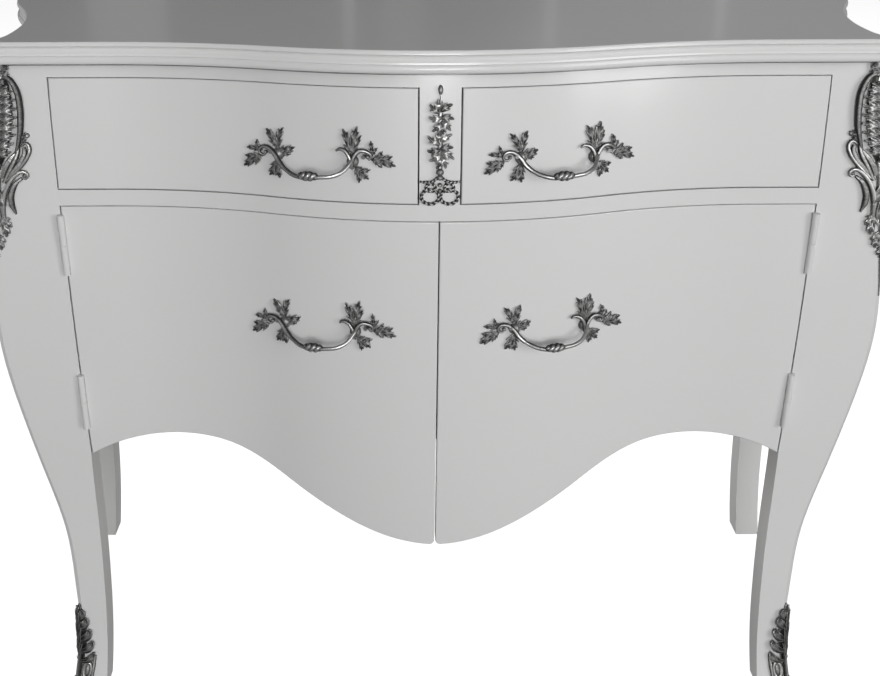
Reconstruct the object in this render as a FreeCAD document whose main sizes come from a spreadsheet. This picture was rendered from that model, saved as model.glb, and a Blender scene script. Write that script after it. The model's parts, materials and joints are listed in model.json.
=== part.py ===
"""Serpentine commode with two drawers above two doors, on cabriole front legs.

Millimetres, +Z up, the front towards -Y, the origin on the floor under the middle of the top.
The front is one swelling sheet: a serpentine plan line turned about a far level axis behind
the chest. The rails, the muntin, the drawer fronts and the doors are all cut from that sheet.
"""
import FreeCAD
import Part

import math
import os
from types import SimpleNamespace

from FreeCAD import Vector

SIZES = (
    ("overall_height", 820, "floor to the top of the slab"),
    ("slab_thick", 22, "height of the moulded slab"),
    ("slab_depth", 518, "middle of the slab's front to its back"),
    ("slab_corner_width", 56, "front corners past the posts' inner sides"),
    ("slab_waist_width", 42, "waist behind them, past the posts' inner sides"),
    ("slab_waist_back", 50, "waist behind the front corners"),
    ("slab_side_overhang", 14, "back corners past the rear legs"),
    ("slab_rise", 58, "depth of the slab's serpentine"),
    ("slab_level_run", 67, "end of the slab's serpentine short of the posts' inner sides"),
    ("slab_corner_clip", 9, "cut off the front corners"),
    ("bead_radius", 4.2, "half height of the lower bead of the slab's edge"),
    ("bead_depth", 2.4, "how far that bead stands out"),
    ("cove_depth", 2.8, "hollow above the bead, deepest under the lip"),
    ("lip_radius", 2, "half height of the upper lip of the slab"),
    ("lip_setback", 1, "upper lip behind the bead"),
    ("front_setback", 25, "slab front to the fullest point of the front"),
    ("front_rise", 60, "depth of the front's serpentine"),
    ("front_level_run", 62, "end of the front's serpentine short of the posts"),
    ("swell_radius", 2500, "upright radius of the front at the posts"),
    ("swell_height", 600, "height of the fullest point"),
    ("panel_thick", 20, "rails, drawer fronts and doors"),
    ("edge_round", 1.2, "softened front edges of drawers and doors"),
    ("opening_half", 402, "half width between the posts"),
    ("top_rail_height", 18.5, "rail under the slab"),
    ("drawer_front_height", 115.7, "drawer front"),
    ("mid_rail_height", 17, "rail between drawers and doors"),
    ("drawer_gap", 0.9, "gap round a drawer front"),
    ("muntin_gap", 1.5, "drawer front to the muntin"),
    ("door_gap", 1, "gap above the doors"),
    ("muntin_width", 41, "upright between the drawers"),
    ("meeting_gap", 1.2, "gap between the doors"),
    ("door_outer_low", 339, "lower edge of a door at its hinges"),
    ("arch_height", 369.5, "top of the arch in a door's lower edge"),
    ("arch_place", 287, "middle of the arch from the centre line"),
    ("arch_start_place", 228, "inner end of the arch from the centre line"),
    ("arch_start_drop", 10.5, "inner end of the arch below its top"),
    ("pendant_low", 245.5, "lowest point of the doors at the centre"),
    ("pendant_run", 104, "width of the pendant's round"),
    ("pendant_lift", 33.5, "rise of the edge over that width"),
    ("slope_run", 56, "slope past the pendant's round"),
    ("slope_lift", 37.6, "rise of the edge over the slope"),
    ("door_corner_radius", 6, "rounded lower corner at the meeting edge"),
    ("post_depth", 48, "front to back of a post"),
    ("cant_width", 6, "canted outer corner of post and leg"),
    ("post_taper", 9, "how much narrower a post is at its back"),
    ("post_top_width", 46, "post past the opening at the top"),
    ("shoulder_drop", 105, "shoulder below the slab"),
    ("shoulder_width", 60, "post past the opening at the shoulder"),
    ("flare_drop", 195, "flare below the slab"),
    ("flare_width", 75.7, "post past the opening at the flare"),
    ("bulge_height", 500, "fullest point of the post's side"),
    ("bulge_width", 87.1, "post past the opening there"),
    ("belly_height", 400, "turn below the bulge"),
    ("belly_width", 76.7, "post past the opening there"),
    ("knee_height", 306, "top of the leg"),
    ("knee_width", 59.9, "outer side past the opening at the knee"),
    ("knee_inner", 1.5, "inner side past the opening at the knee"),
    ("knee_setback", 17, "leg front behind the fullest point, at the knee"),
    ("calf_height", 223, "middle of the leg"),
    ("calf_width", 46.1, "outer side past the opening at the calf"),
    ("calf_inner", 3.5, "inner side past the opening at the calf"),
    ("calf_setback", 24, "leg front behind the fullest point, at the calf"),
    ("ankle_height", 140, "thinnest part of the leg"),
    ("ankle_width", 43.7, "outer side past the opening at the ankle"),
    ("ankle_inner", 6, "inner side past the opening at the ankle"),
    ("ankle_setback", 26, "leg front behind the fullest point, at the ankle"),
    ("pastern_height", 50, "start of the foot"),
    ("pastern_width", 46.3, "outer side past the opening at the pastern"),
    ("pastern_inner", 11, "inner side past the opening at the pastern"),
    ("pastern_setback", 24, "leg front behind the fullest point, at the pastern"),
    ("foot_width", 55.3, "outer side past the opening at the floor"),
    ("foot_inner", 14, "inner side past the opening at the floor"),
    ("foot_setback", 12, "foot front behind the fullest point"),
    ("leg_depth", 35, "front to back of a leg"),
    ("rear_leg_width", 38, "rear leg above its waist"),
    ("rear_waist_height", 190, "thinnest part of a rear leg"),
    ("rear_waist_outer", 12, "outer side drawn in there"),
    ("rear_waist_inner", 8, "inner side moved in with it"),
    ("rear_foot_outer", 1, "outer side drawn in at the floor"),
    ("rear_foot_inner", 3, "inner side moved out at the floor"),
    ("rear_leg_spread", 116, "outer side of the rear legs past the opening"),
    ("back_overhang", 20, "slab past the rear legs"),
    ("side_thick", 20, "side panel"),
    ("side_lap", 6, "side panel past the rear leg"),
    ("side_low", 345, "lower edge of the side panels"),
    ("side_arch_rise", 20, "arch in that edge"),
    ("side_arch_margin", 30, "straight edge left at each end of the arch"),
    ("back_thick", 8, "back panel"),
    ("rear_rail_height", 40, "rail under the slab at the back"),
    ("rear_rail_thick", 20, "front to back of that rail"),
    ("bottom_low", 380, "underside of the bottom board"),
    ("board_thick", 16, "bottom board and shelf"),
    ("door_back_gap", 2, "doors to the boards behind them"),
    ("shelf_low", 480, "underside of the shelf"),
    ("shelf_gap", 1, "shelf to the sides, posts and legs"),
    ("shelf_back_gap", 3, "shelf to the back panel"),
    ("shelf_pin_radius", 2.5, "shelf pin"),
    ("shelf_pin_grip", 9, "pin under the shelf"),
    ("shelf_pin_depth", 12, "pin in the timber"),
    ("shelf_pin_inset", 14, "pin from the back of a post or the front of a rear leg"),
    ("partition_thick", 16, "upright board between the drawers"),
    ("drawer_board", 12, "drawer sides and back"),
    ("drawer_side_gap", 3, "drawer side to the post and the muntin"),
    ("drawer_lift_gap", 0.3, "drawer to the dust board"),
    ("drawer_side_height", 92, "drawer side"),
    ("drawer_back_room", 45, "drawer back to the back panel"),
    ("drawer_bottom_thick", 6, "drawer bottom"),
    ("drawer_bottom_rise", 8, "drawer bottom above the lower edge"),
    ("groove_depth", 6, "bottom let into the sides"),
    ("guide_height", 18, "drawer guides"),
    ("guide_gap", 0.5, "drawer side to its guide"),
    ("guide_width", 15, "outer guides"),
    ("guide_end_gap", 4, "guides and kickers short of the timbers behind them"),
    ("kicker_gap", 1.5, "drawer side to the kicker above it"),
    ("kicker_width", 24, "kicker"),
    ("stop_gap", 0.4, "drawer back to its stop"),
    ("stop_width", 60, "drawer stop"),
    ("stop_depth", 16, "drawer stop, front to back"),
    ("stop_height", 40, "drawer stop"),
    ("hinge_gap", 1.2, "door to post"),
    ("hinge_length", 68, "both barrels together"),
    ("barrel_radius", 3.8, "hinge barrel"),
    ("barrel_gap", 0.3, "between the two barrels"),
    ("pin_radius", 2.2, "hinge pin"),
    ("pin_clearance", 0.05, "pin in the upper barrel"),
    ("pin_end", 4, "solid cap above the pin"),
    ("pin_proud", 3, "hinge axis in front of the front sheet"),
    ("relief_gap", 0.5, "barrel to the edges beside it"),
    ("leaf_thick", 1, "hinge leaf, let into its timber"),
    ("leaf_play", 0.4, "between the closed leaves of a hinge"),
    ("leaf_width", 22, "hinge leaf behind the axis"),
    ("leaf_clear", 0.6, "leaf to the other leaf's barrel"),
    ("upper_hinge_drop", 42.5, "middle of the upper hinge below the door top"),
    ("lower_hinge_rise", 72, "middle of the lower hinge above the door's outer edge"),
    ("hinge_screw_radius", 1.5, "hinge screw"),
    ("hinge_screw_head", 2.5, "head radius of the hinge screw"),
    ("hinge_screw_length", 14, "hinge screw"),
    ("hinge_screw_place", 13, "screw behind the hinge axis"),
    ("hinge_screw_spread", 44, "between the two screws of a leaf"),
    ("pull_place", 122, "middle of a pull from the centre line"),
    ("pull_spacing", 98, "between the feet of a pull"),
    ("pull_reach", 29, "bow in front of its feet"),
    ("pull_boss_radius", 6.5, "foot of a pull"),
    ("pull_boss_height", 13, "foot of a pull"),
    ("pull_bow_radius", 4.5, "bow"),
    ("pull_bead_radius", 7, "bead in the middle of the bow"),
    ("pull_sag", 19, "middle of the bow below its ends"),
    ("pull_leaf_thick", 4, "leaves of a pull"),
    ("drawer_pull_drop", 9, "drawer pull below the middle of its front"),
    ("door_pull_drop", 116.5, "door pull below the door top"),
    ("pull_screw_radius", 2, "pull screw"),
    ("pull_screw_head", 4, "head radius of the pull screw"),
    ("pull_screw_head_height", 2.5, "head of the pull screw"),
    ("pull_screw_grip", 9, "screw in the foot of the pull"),
    ("mount_thick", 4, "cast mounts on posts and feet"),
    ("corner_mount_length", 256, "corner mount with its tail"),
    ("corner_mount_half", 21, "half width of the corner mount"),
    ("corner_mount_drop", 3, "corner mount below the slab"),
    ("foot_mount_height", 118, "tip of the foot mount"),
    ("foot_mount_half", 18, "half width of the foot mount"),
    ("foot_mount_low", 3, "foot mount above the floor"),
    ("drop_top", 17, "drop ornament below the slab"),
    ("drop_length", 121, "drop ornament"),
    ("drop_leaf_width", 10.4, "leaf of the drop"),
    ("drop_knot_radius", 6.5, "knot of its bow"),
    ("drop_thick", 7, "drop ornament"),
    ("drop_ring_radius", 7.5, "ring at the foot of the drop"),
    ("drop_wire_radius", 1.8, "wire of that ring"),
    ("drop_ring_sink", 0.2, "ring let into the muntin's face"),
)

SIDES = (("left", -1), ("right", 1))

doc = FreeCAD.newDocument("commode")
sheet = doc.addObject("Spreadsheet::Sheet", "Sizes")
for row, (name, number, meaning) in enumerate(SIZES, start=1):
    sheet.set(f"A{row}", name)
    sheet.set(f"B{row}", str(number))
    sheet.set(f"C{row}", meaning)
    sheet.setAlias(f"B{row}", name)
doc.recompute()


class Length:
    """A size with both its sheet expression and its number, kept together through arithmetic."""

    def __init__(self, text, number):
        self.text = text
        self.number = float(number)

    def join(self, sign, other, number):
        other_text = other.text if isinstance(other, Length) else repr(other)
        return Length(f"({self.text} {sign} {other_text})", number)

    def __float__(self):
        return self.number

    def __add__(self, other):
        return self.join("+", other, self.number + float(other))

    def __sub__(self, other):
        return self.join("-", other, self.number - float(other))

    def __mul__(self, other):
        return self.join("*", other, self.number * float(other))

    def __truediv__(self, other):
        return self.join("/", other, self.number / float(other))

    def __neg__(self):
        return Length(f"(0 - {self.text})", -self.number)


size = SimpleNamespace(**{name: Length(f"Sizes.{name}", sheet.get(name)) for name, _, _ in SIZES})

# Levels and planes that several pieces share.
carcass_top = size.overall_height - size.slab_thick
top_rail_low = carcass_top - size.top_rail_height
drawer_top = top_rail_low - size.drawer_gap
drawer_low = drawer_top - size.drawer_front_height
rail_top = drawer_low - size.drawer_gap
rail_low = rail_top - size.mid_rail_height
door_top = rail_low - size.door_gap
door_edge = size.opening_half - size.hinge_gap
front_reach = size.opening_half - size.front_level_run
slab_reach = size.opening_half - size.slab_level_run
slab_corner_half = size.opening_half + size.slab_corner_width
slab_waist_half = size.opening_half + size.slab_waist_width
rear_leg_half = size.opening_half + size.rear_leg_spread
slab_back_half = rear_leg_half + size.slab_side_overhang
slab_front = -(size.slab_depth / 2)
front_middle = slab_front + size.front_setback
post_front = front_middle + size.front_rise
post_back = post_front + size.post_depth
rear_back = size.slab_depth / 2 - size.back_overhang
rear_front = rear_back - size.rear_leg_width
rear_inner = rear_leg_half - size.rear_leg_width
back_front = rear_back - size.back_thick
side_back_half = rear_leg_half + size.side_lap
muntin_half = size.muntin_width / 2
drawer_back = back_front - size.drawer_back_room
drawer_under = rail_top + size.drawer_lift_gap
drawer_rim = drawer_under + size.drawer_side_height
hinge_axis_x = size.opening_half - size.hinge_gap / 2
upper_hinge = door_top - size.upper_hinge_drop
lower_hinge = size.door_outer_low + size.lower_hinge_rise

nodes = {}


# Document helpers.

def keep(label, item):
    """Name an object as one of the part's nodes."""
    item.Label = label
    nodes[label] = item
    return item


def solid(label, shape):
    """A node, or a helper, whose shape is worked out below."""
    item = doc.addObject("Part::Feature", label)
    item.Shape = shape
    return item


def board(label, x_span, y_span, z_span):
    """A plain board between three pairs of planes, tied to the sheet."""
    item = doc.addObject("Part::Box", label)
    for prop, (low, high) in zip(("Length", "Width", "Height"), (x_span, y_span, z_span)):
        item.setExpression(prop, (high - low).text)
    for axis, (low, _) in zip("xyz", (x_span, y_span, z_span)):
        item.setExpression(f"Placement.Base.{axis}", low.text)
    return item


def span(sign, low, high):
    """The x range from low to high on one side of the chest."""
    return (low, high) if sign > 0 else (-high, -low)


def common(label, first, second):
    item = doc.addObject("Part::Common", label)
    item.Base = first
    item.Tool = second
    return item


def cut(label, base, tool):
    item = doc.addObject("Part::Cut", label)
    item.Base = base
    item.Tool = tool
    return item


def group(label, items):
    """Separate solids that share one node."""
    item = doc.addObject("Part::Compound", label)
    item.Links = items
    return item


def mirrored(shape, sign):
    return shape if sign > 0 else shape.mirror(Vector(0, 0, 0), Vector(1, 0, 0))


def line(start, end):
    return Part.LineSegment(start, end).toShape()


def arc(start, middle, end):
    return Part.Arc(start, middle, end).toShape()


def curve(points):
    spline = Part.BSplineCurve()
    spline.interpolate(points)
    return spline.toShape()


def face(edges):
    return Part.Face(Part.Wire(Part.__sortEdges__(edges)))


# The serpentine plan line and the swelling front sheet.

def serpentine(middle_y, rise, reach, half_width, inset):
    """Edges of a serpentine from -half_width to +half_width, moved inwards by inset.

    A convex middle arc meets two hollow flank arcs of the same radius, which run out level.
    """
    radius = (reach ** 2 + rise ** 2) / (4 * rise)
    turn = math.asin(reach / 2 / radius)

    def on_middle(angle):
        reach_out = radius - inset
        return Vector(reach_out * math.sin(angle), middle_y + radius - reach_out * math.cos(angle), 0)

    def on_flank(sign, angle):
        reach_out = radius + inset
        x = sign * (reach - reach_out * math.sin(angle))
        return Vector(x, middle_y + rise - radius + reach_out * math.cos(angle), 0)

    level = middle_y + rise + inset
    return [
        line(Vector(-half_width, level, 0), on_flank(-1, 0)),
        arc(on_flank(-1, 0), on_flank(-1, turn / 2), on_middle(-turn)),
        arc(on_middle(-turn), on_middle(0), on_middle(turn)),
        arc(on_middle(turn), on_flank(1, turn / 2), on_flank(1, 0)),
        line(on_flank(1, 0), Vector(half_width, level, 0)),
    ]


def plan_depth(x):
    """How far the front sheet lies behind its middle, at x."""
    reach = float(front_reach)
    rise = float(size.front_rise)
    radius = (reach ** 2 + rise ** 2) / (4 * rise)
    x = min(abs(x), reach)
    if x < reach / 2:
        return radius - math.sqrt(radius ** 2 - x ** 2)
    return rise - radius + math.sqrt(radius ** 2 - (reach - x) ** 2)


def sheet_y(x, z):
    """The front sheet's y at a place on the front."""
    axis_y = float(post_front) + float(size.swell_radius)
    reach_out = float(size.swell_radius) + float(size.front_rise) - plan_depth(x)
    return axis_y - math.sqrt(reach_out ** 2 - (z - float(size.swell_height)) ** 2)


def swell(edges):
    """Turn a closed plan outline about the swell axis, the whole height both ways."""
    axis_point = Vector(0, float(post_front) + float(size.swell_radius), float(size.swell_height))
    angle = math.degrees(math.asin(float(size.overall_height) / float(size.swell_radius)))
    plan = face(edges)
    plan.translate(Vector(0, 0, float(size.swell_height)))
    plan.rotate(axis_point, Vector(1, 0, 0), -angle)
    return plan.revolve(axis_point, Vector(1, 0, 0), 2 * angle)


def front_line(inset):
    half_width = float(size.opening_half) + float(size.panel_thick)
    return serpentine(float(front_middle), float(size.front_rise), float(front_reach),
                      half_width, inset)


def front_band(inset_front, inset_back):
    """The solid between two insets of the front sheet."""
    outer = front_line(inset_front)
    inner = front_line(inset_back)
    ends = [line(outer[0].Vertexes[0].Point, inner[0].Vertexes[0].Point),
            line(outer[-1].Vertexes[-1].Point, inner[-1].Vertexes[-1].Point)]
    return swell(outer + inner + ends)


def front_room(inset):
    """Everything behind an inset of the front sheet, as far as the slab's back."""
    front = front_line(inset)
    left = front[0].Vertexes[0].Point
    right = front[-1].Vertexes[-1].Point
    back = float(size.slab_depth) / 2
    corners = (left, Vector(left.x, back, 0), Vector(right.x, back, 0), right)
    return swell(front + [line(a, b) for a, b in zip(corners, corners[1:])])


band = solid("front_band", front_band(0, float(size.panel_thick)))
room = solid("front_room", front_room(float(size.panel_thick)))
front_skin = band.Shape


ON_SHEET = 0.01
SMOOTH_DEGREES = 5.0


def soften(shape, radius):
    """Round the edges of a front piece that lie on the front sheet."""
    picked = []
    for edge in shape.Edges:
        middle = edge.valueAt((edge.FirstParameter + edge.LastParameter) / 2)
        on_sheet = abs(middle.y - sheet_y(middle.x, middle.z)) < ON_SHEET
        seam = len(shape.ancestorsOfType(edge, Part.Face)) == 2 and is_smooth(shape, edge, middle)
        if on_sheet and not seam:
            picked.append(edge)
    return shape.makeFillet(radius, picked)


def is_smooth(shape, edge, point):
    """True where the two faces beside an edge meet without a corner."""
    normals = []
    for side in shape.ancestorsOfType(edge, Part.Face):
        u, v = side.Surface.parameter(point)
        normals.append(side.normalAt(u, v))
    return normals[0].getAngle(normals[1]) < math.radians(SMOOTH_DEGREES)


# Slab.

def slab_outline(inset, z):
    """The slab's plan line at one level of its moulding.

    Behind each clipped front corner the side draws in to a waist on one arc, then swings out
    to the back on two equal arcs that meet at half depth.
    """
    front = float(slab_front)
    level = front + float(size.slab_rise)
    back = float(size.slab_depth) / 2
    waist = float(slab_waist_half)
    waist_y = level + float(size.slab_waist_back)
    ear = float(slab_corner_half) - waist
    ear_radius = (float(size.slab_waist_back) ** 2 + ear ** 2) / (2 * ear)
    clip = float(size.slab_corner_clip)
    half_x = (float(slab_back_half) - waist) / 2
    half_y = (back - waist_y) / 2
    radius = (half_x ** 2 + half_y ** 2) / (2 * half_x)
    turn = math.asin(half_y / radius)

    def on_ear(y):
        reach_out = ear_radius + inset
        return Vector(waist + ear_radius - math.sqrt(reach_out ** 2 - (y - waist_y) ** 2), y, 0)

    def on_hollow(angle):
        reach_out = radius + inset
        return Vector(waist + radius - reach_out * math.cos(angle),
                      waist_y + reach_out * math.sin(angle), 0)

    def on_round(angle):
        reach_out = radius - inset
        return Vector(float(slab_back_half) - radius + reach_out * math.cos(angle),
                      back - reach_out * math.sin(angle), 0)

    corner = on_ear(level + inset)
    clip_end = on_ear(level + inset + clip)
    edges = serpentine(front, float(size.slab_rise), float(slab_reach), corner.x - clip, inset)
    side = [
        line(corner - Vector(clip, 0, 0), clip_end),
        arc(clip_end, on_ear((clip_end.y + waist_y) / 2), on_hollow(0)),
        arc(on_hollow(0), on_hollow(turn / 2), on_round(turn)),
        arc(on_round(turn), on_round(turn / 2), on_round(0)),
    ]
    for edge in side:
        edges.append(edge)
        edges.append(edge.mirror(Vector(0, 0, 0), Vector(1, 0, 0)))
    back_half = on_round(0).x
    edges.append(line(Vector(-back_half, back, 0), Vector(back_half, back, 0)))
    outline = Part.Wire(Part.__sortEdges__(edges))
    outline.translate(Vector(0, 0, z))
    return outline


MOULDING_STEPS = 5
COVE_LEAN = 1.7


def slab_profile():
    """Levels and insets up the slab's edge: a bead, a hollow that leans upwards and a rounded lip."""
    bead = float(size.bead_radius)
    bead_depth = float(size.bead_depth)
    hollow = float(size.cove_depth)
    lip = float(size.lip_radius)
    lip_setback = float(size.lip_setback)
    levels = []
    for step in range(2 * MOULDING_STEPS + 1):
        angle = math.pi * step / (2 * MOULDING_STEPS)
        levels.append((bead - bead * math.cos(angle), bead_depth * (1 - math.sin(angle))))
    cove_low = 2 * bead
    cove_high = float(size.slab_thick) - 2 * lip
    for step in range(1, MOULDING_STEPS + 1):
        share = step / MOULDING_STEPS
        slant = bead_depth + (lip_setback - bead_depth) * share
        inset = slant + hollow * math.sin(math.pi * share ** COVE_LEAN)
        levels.append((cove_low + (cove_high - cove_low) * share, inset))
    for step in range(1, MOULDING_STEPS + 1):
        angle = math.pi / 2 * step / MOULDING_STEPS
        levels.append((cove_high + 2 * lip * math.sin(angle), lip_setback + lip * (1 - math.cos(angle))))
    return levels


def slab_shape():
    base = float(carcass_top)
    outlines = [slab_outline(inset, base + rise) for rise, inset in slab_profile()]
    return Part.makeLoft(outlines, True, True)


keep("top_slab", solid("top_slab", slab_shape()))


# Front posts with their cabriole legs.

def post_stations():
    """Height, outer half width, front y, inner half width and back y, from the top down."""
    opening = float(size.opening_half)
    stations = []
    for z, width in ((carcass_top, size.post_top_width),
                     (carcass_top - size.shoulder_drop, size.shoulder_width),
                     (carcass_top - size.flare_drop, size.flare_width),
                     (size.bulge_height, size.bulge_width),
                     (size.belly_height, size.belly_width)):
        front = sheet_y(float(front_reach), float(z))
        stations.append((float(z), opening + float(width), front, opening, float(post_back)))
    legs = ((float(size.knee_height), size.knee_width, size.knee_setback, size.knee_inner),
            (float(size.calf_height), size.calf_width, size.calf_setback, size.calf_inner),
            (float(size.ankle_height), size.ankle_width, size.ankle_setback, size.ankle_inner),
            (float(size.pastern_height), size.pastern_width, size.pastern_setback, size.pastern_inner),
            (0.0, size.foot_width, size.foot_setback, size.foot_inner))
    for z, width, setback, inner in legs:
        front = float(post_front) + float(setback)
        stations.append((z, opening + float(width), front, opening + float(inner),
                         front + float(size.leg_depth)))
    return stations


def split_curve(points, straight_until):
    """A straight line down to one height, then a curve through the remaining points."""
    top = points[0]
    knee = Vector(top.x, top.y, straight_until)
    below = [point for point in points if point.z < straight_until]
    return [line(top, knee), curve([knee] + below)]


def prism(outer_edges, inner_edges, direction):
    """Extrude the face between two lines that run from the top to the floor."""
    ends = [line(outer_edges[0].Vertexes[0].Point, inner_edges[0].Vertexes[0].Point),
            line(outer_edges[-1].Vertexes[-1].Point, inner_edges[-1].Vertexes[-1].Point)]
    return face(outer_edges + inner_edges + ends).extrude(direction)


ACROSS = Vector(1, 1, 0).normalize()
OUTWARD = Vector(1, -1, 0).normalize()


def taper():
    """Inward slope of a post's outer side, per unit of depth."""
    return float(size.post_taper) / float(size.post_depth)


def taper_half(outer, front, y):
    """Half width of a post's outer side at depth y, where outer is its width at the cant's end."""
    return outer - taper() * (y - front - float(size.cant_width))


def post_shape(grow):
    """The right post, sawn to its front, its side and its canted corner, each moved out by grow."""
    stations = post_stations()
    far = float(size.slab_depth)
    leg_top = float(size.door_outer_low)
    outer = [Vector(taper_half(outer, front, -far) + grow, -far, z)
             for z, outer, front, _, _ in stations]
    core = [Vector(0, -far, point.z) for point in (outer[0], outer[-1])]
    outer_prism = prism([curve(outer)], [line(*core)], Vector(-2 * far * taper(), 2 * far, 0))
    inner = [Vector(inner, -far, z) for z, _, _, inner, _ in stations]
    core = [Vector(2 * far, -far, point.z) for point in (inner[0], inner[-1])]
    inner_prism = prism(split_curve(inner, leg_top), [line(*core)], Vector(0, 2 * far, 0))
    from_side = [Vector(0, front - grow, z) for z, _, front, _, _ in stations]
    back = [Vector(0, back, z) for z, _, _, _, back in stations]
    side_prism = prism([curve(from_side)], split_curve(back, leg_top), Vector(2 * far, 0, 0))
    corner = []
    for z, outer, front, _, _ in stations:
        reach_out = (outer - front - float(size.cant_width)) / math.sqrt(2) + grow
        corner.append(OUTWARD * reach_out - ACROSS * far + Vector(0, 0, z))
    core = [Vector(-ACROSS.x * far, -ACROSS.y * far, point.z) for point in (corner[0], corner[-1])]
    corner_prism = prism([curve(corner)], [line(*core)], ACROSS * (2 * far))
    return outer_prism.common(inner_prism).common(side_prism).common(corner_prism)


def hinge_lean():
    """Degrees that the hinge line leans, to follow the front sheet through both hinges."""
    edge = float(door_edge)
    drop = sheet_y(edge, float(lower_hinge)) - sheet_y(edge, float(upper_hinge))
    return math.degrees(math.atan2(drop, float(upper_hinge) - float(lower_hinge)))


def hinge_place(sign, height):
    """The frame of one hinge: its middle on the axis, +Z up the axis, +Y into the chest."""
    y = sheet_y(float(door_edge), float(height)) - float(size.pin_proud)
    return FreeCAD.Placement(Vector(sign * float(hinge_axis_x), y, float(height)),
                             FreeCAD.Rotation(Vector(1, 0, 0), hinge_lean()))


HINGES = (("upper", upper_hinge), ("lower", lower_hinge))


def hinge_relief(sign):
    """Room that the door and the post leave round the hinge barrels."""
    radius = float(size.barrel_radius) + float(size.relief_gap)
    length = float(size.hinge_length) + 2 * float(size.relief_gap)
    rods = []
    for _, height in HINGES:
        rod = Part.makeCylinder(radius, length, Vector(0, 0, -length / 2))
        rod.Placement = hinge_place(sign, height)
        rods.append(rod)
    return Part.Compound(rods)


def hinge_screw(sign, height, leaf_sign):
    """Two countersunk screws through one leaf, heads towards the other leaf."""
    play = float(size.leaf_play) / 2
    leaf = float(size.leaf_thick)
    shank = float(size.hinge_screw_radius)
    screws = []
    for end in (-1, 1):
        base = Vector(sign * leaf_sign * play, float(size.hinge_screw_place),
                      end * float(size.hinge_screw_spread) / 2)
        along = Vector(sign * leaf_sign, 0, 0)
        head = Part.makeCone(float(size.hinge_screw_head), shank, leaf, base, along)
        rod = Part.makeCylinder(shank, float(size.hinge_screw_length), base + along * leaf, along)
        screw = head.fuse(rod).removeSplitter()
        screw.Placement = hinge_place(sign, height)
        screws.append(screw)
    return screws


def hinge_leaf(sign, height, leaf_sign):
    """One leaf with its barrel: leaf_sign +1 for the frame's lower half, -1 for the door's upper."""
    half = float(size.hinge_length) / 2
    play = float(size.leaf_play) / 2
    thick = float(size.leaf_thick)
    radius = float(size.barrel_radius)
    clear = radius + float(size.leaf_clear)
    start = float(size.barrel_gap) / 2
    low, high = (-half, -start) if leaf_sign > 0 else (start, half)
    x_low = play if sign * leaf_sign > 0 else -play - thick
    plate = Part.makeBox(thick, float(size.leaf_width) - clear, 2 * half, Vector(x_low, clear, -half))
    web = Part.makeBox(thick, clear, high - low, Vector(x_low, 0, low))
    barrel = Part.makeCylinder(radius, high - low, Vector(0, 0, low))
    bore_radius = float(size.pin_radius) + (0 if leaf_sign > 0 else float(size.pin_clearance))
    bore_half = half - float(size.pin_end)
    bore = Part.makeCylinder(bore_radius, 2 * bore_half, Vector(0, 0, -bore_half))
    piece = barrel.multiFuse([plate, web]).cut(bore).removeSplitter()
    piece.Placement = hinge_place(sign, height)
    return piece.cut(hinge_screw(sign, height, leaf_sign))


def shelf_pin(sign, x, y):
    """A pin that stands out of a timber's inner face under the shelf."""
    radius = float(size.shelf_pin_radius)
    length = float(size.shelf_pin_grip) + float(size.shelf_pin_depth)
    start = Vector(sign * (x - float(size.shelf_pin_grip)), y, float(size.shelf_low) - radius)
    return Part.makeCylinder(radius, length, start, Vector(sign, 0, 0))


def rear_leg_shape():
    """The right rear leg: straight down to the side panel's edge, then waisted and kicked out."""
    top = float(carcass_top)
    waist = float(size.rear_waist_height)
    y = float(rear_front)
    outer = float(rear_leg_half)
    inner = float(rear_inner)
    outer_line = [Vector(outer, y, top), Vector(outer - float(size.rear_waist_outer), y, waist),
                  Vector(outer - float(size.rear_foot_outer), y, 0)]
    inner_line = [Vector(inner, y, top), Vector(inner - float(size.rear_waist_inner), y, waist),
                  Vector(inner + float(size.rear_foot_inner), y, 0)]
    low = float(size.side_low)
    return prism(split_curve(outer_line, low), split_curve(inner_line, low),
                 Vector(0, float(size.rear_leg_width), 0))


front_pin_y = float(post_back) - float(size.shelf_pin_inset)
rear_pin_y = float(rear_front) + float(size.shelf_pin_inset)
plain_post = post_shape(0)
plain_rear_leg = rear_leg_shape()
frame_screws = []
shelf_pins = []
for side_name, sign in SIDES:
    screws = [screw for _, height in HINGES for screw in hinge_screw(sign, height, 1)]
    front_pin = shelf_pin(sign, float(size.opening_half), front_pin_y)
    rear_pin = shelf_pin(sign, float(rear_inner), rear_pin_y)
    leaves = []
    for hinge_name, height in HINGES:
        frame_leaf = hinge_leaf(sign, height, 1)
        leaf_label = f"hinge_frame_leaf_{hinge_name}_{side_name}"
        keep(leaf_label, solid(leaf_label, frame_leaf))
        leaves.append(frame_leaf)
    post = mirrored(plain_post, sign).cut([hinge_relief(sign), front_pin] + screws + leaves)
    keep(f"front_post_{side_name}", solid(f"front_post_{side_name}", post))
    frame_screws += screws
    shelf_pins += [front_pin, rear_pin]
    rear_leg = mirrored(plain_rear_leg, sign).cut(rear_pin)
    keep(f"rear_leg_{side_name}", solid(f"rear_leg_{side_name}", rear_leg))
keep("hinge_frame_screws", solid("hinge_frame_screws", Part.Compound(frame_screws)))
keep("shelf_pins", solid("shelf_pins", Part.Compound(shelf_pins)))


# Side panels, whose swell fades towards the back.

SIDE_SECTIONS = 5


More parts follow.
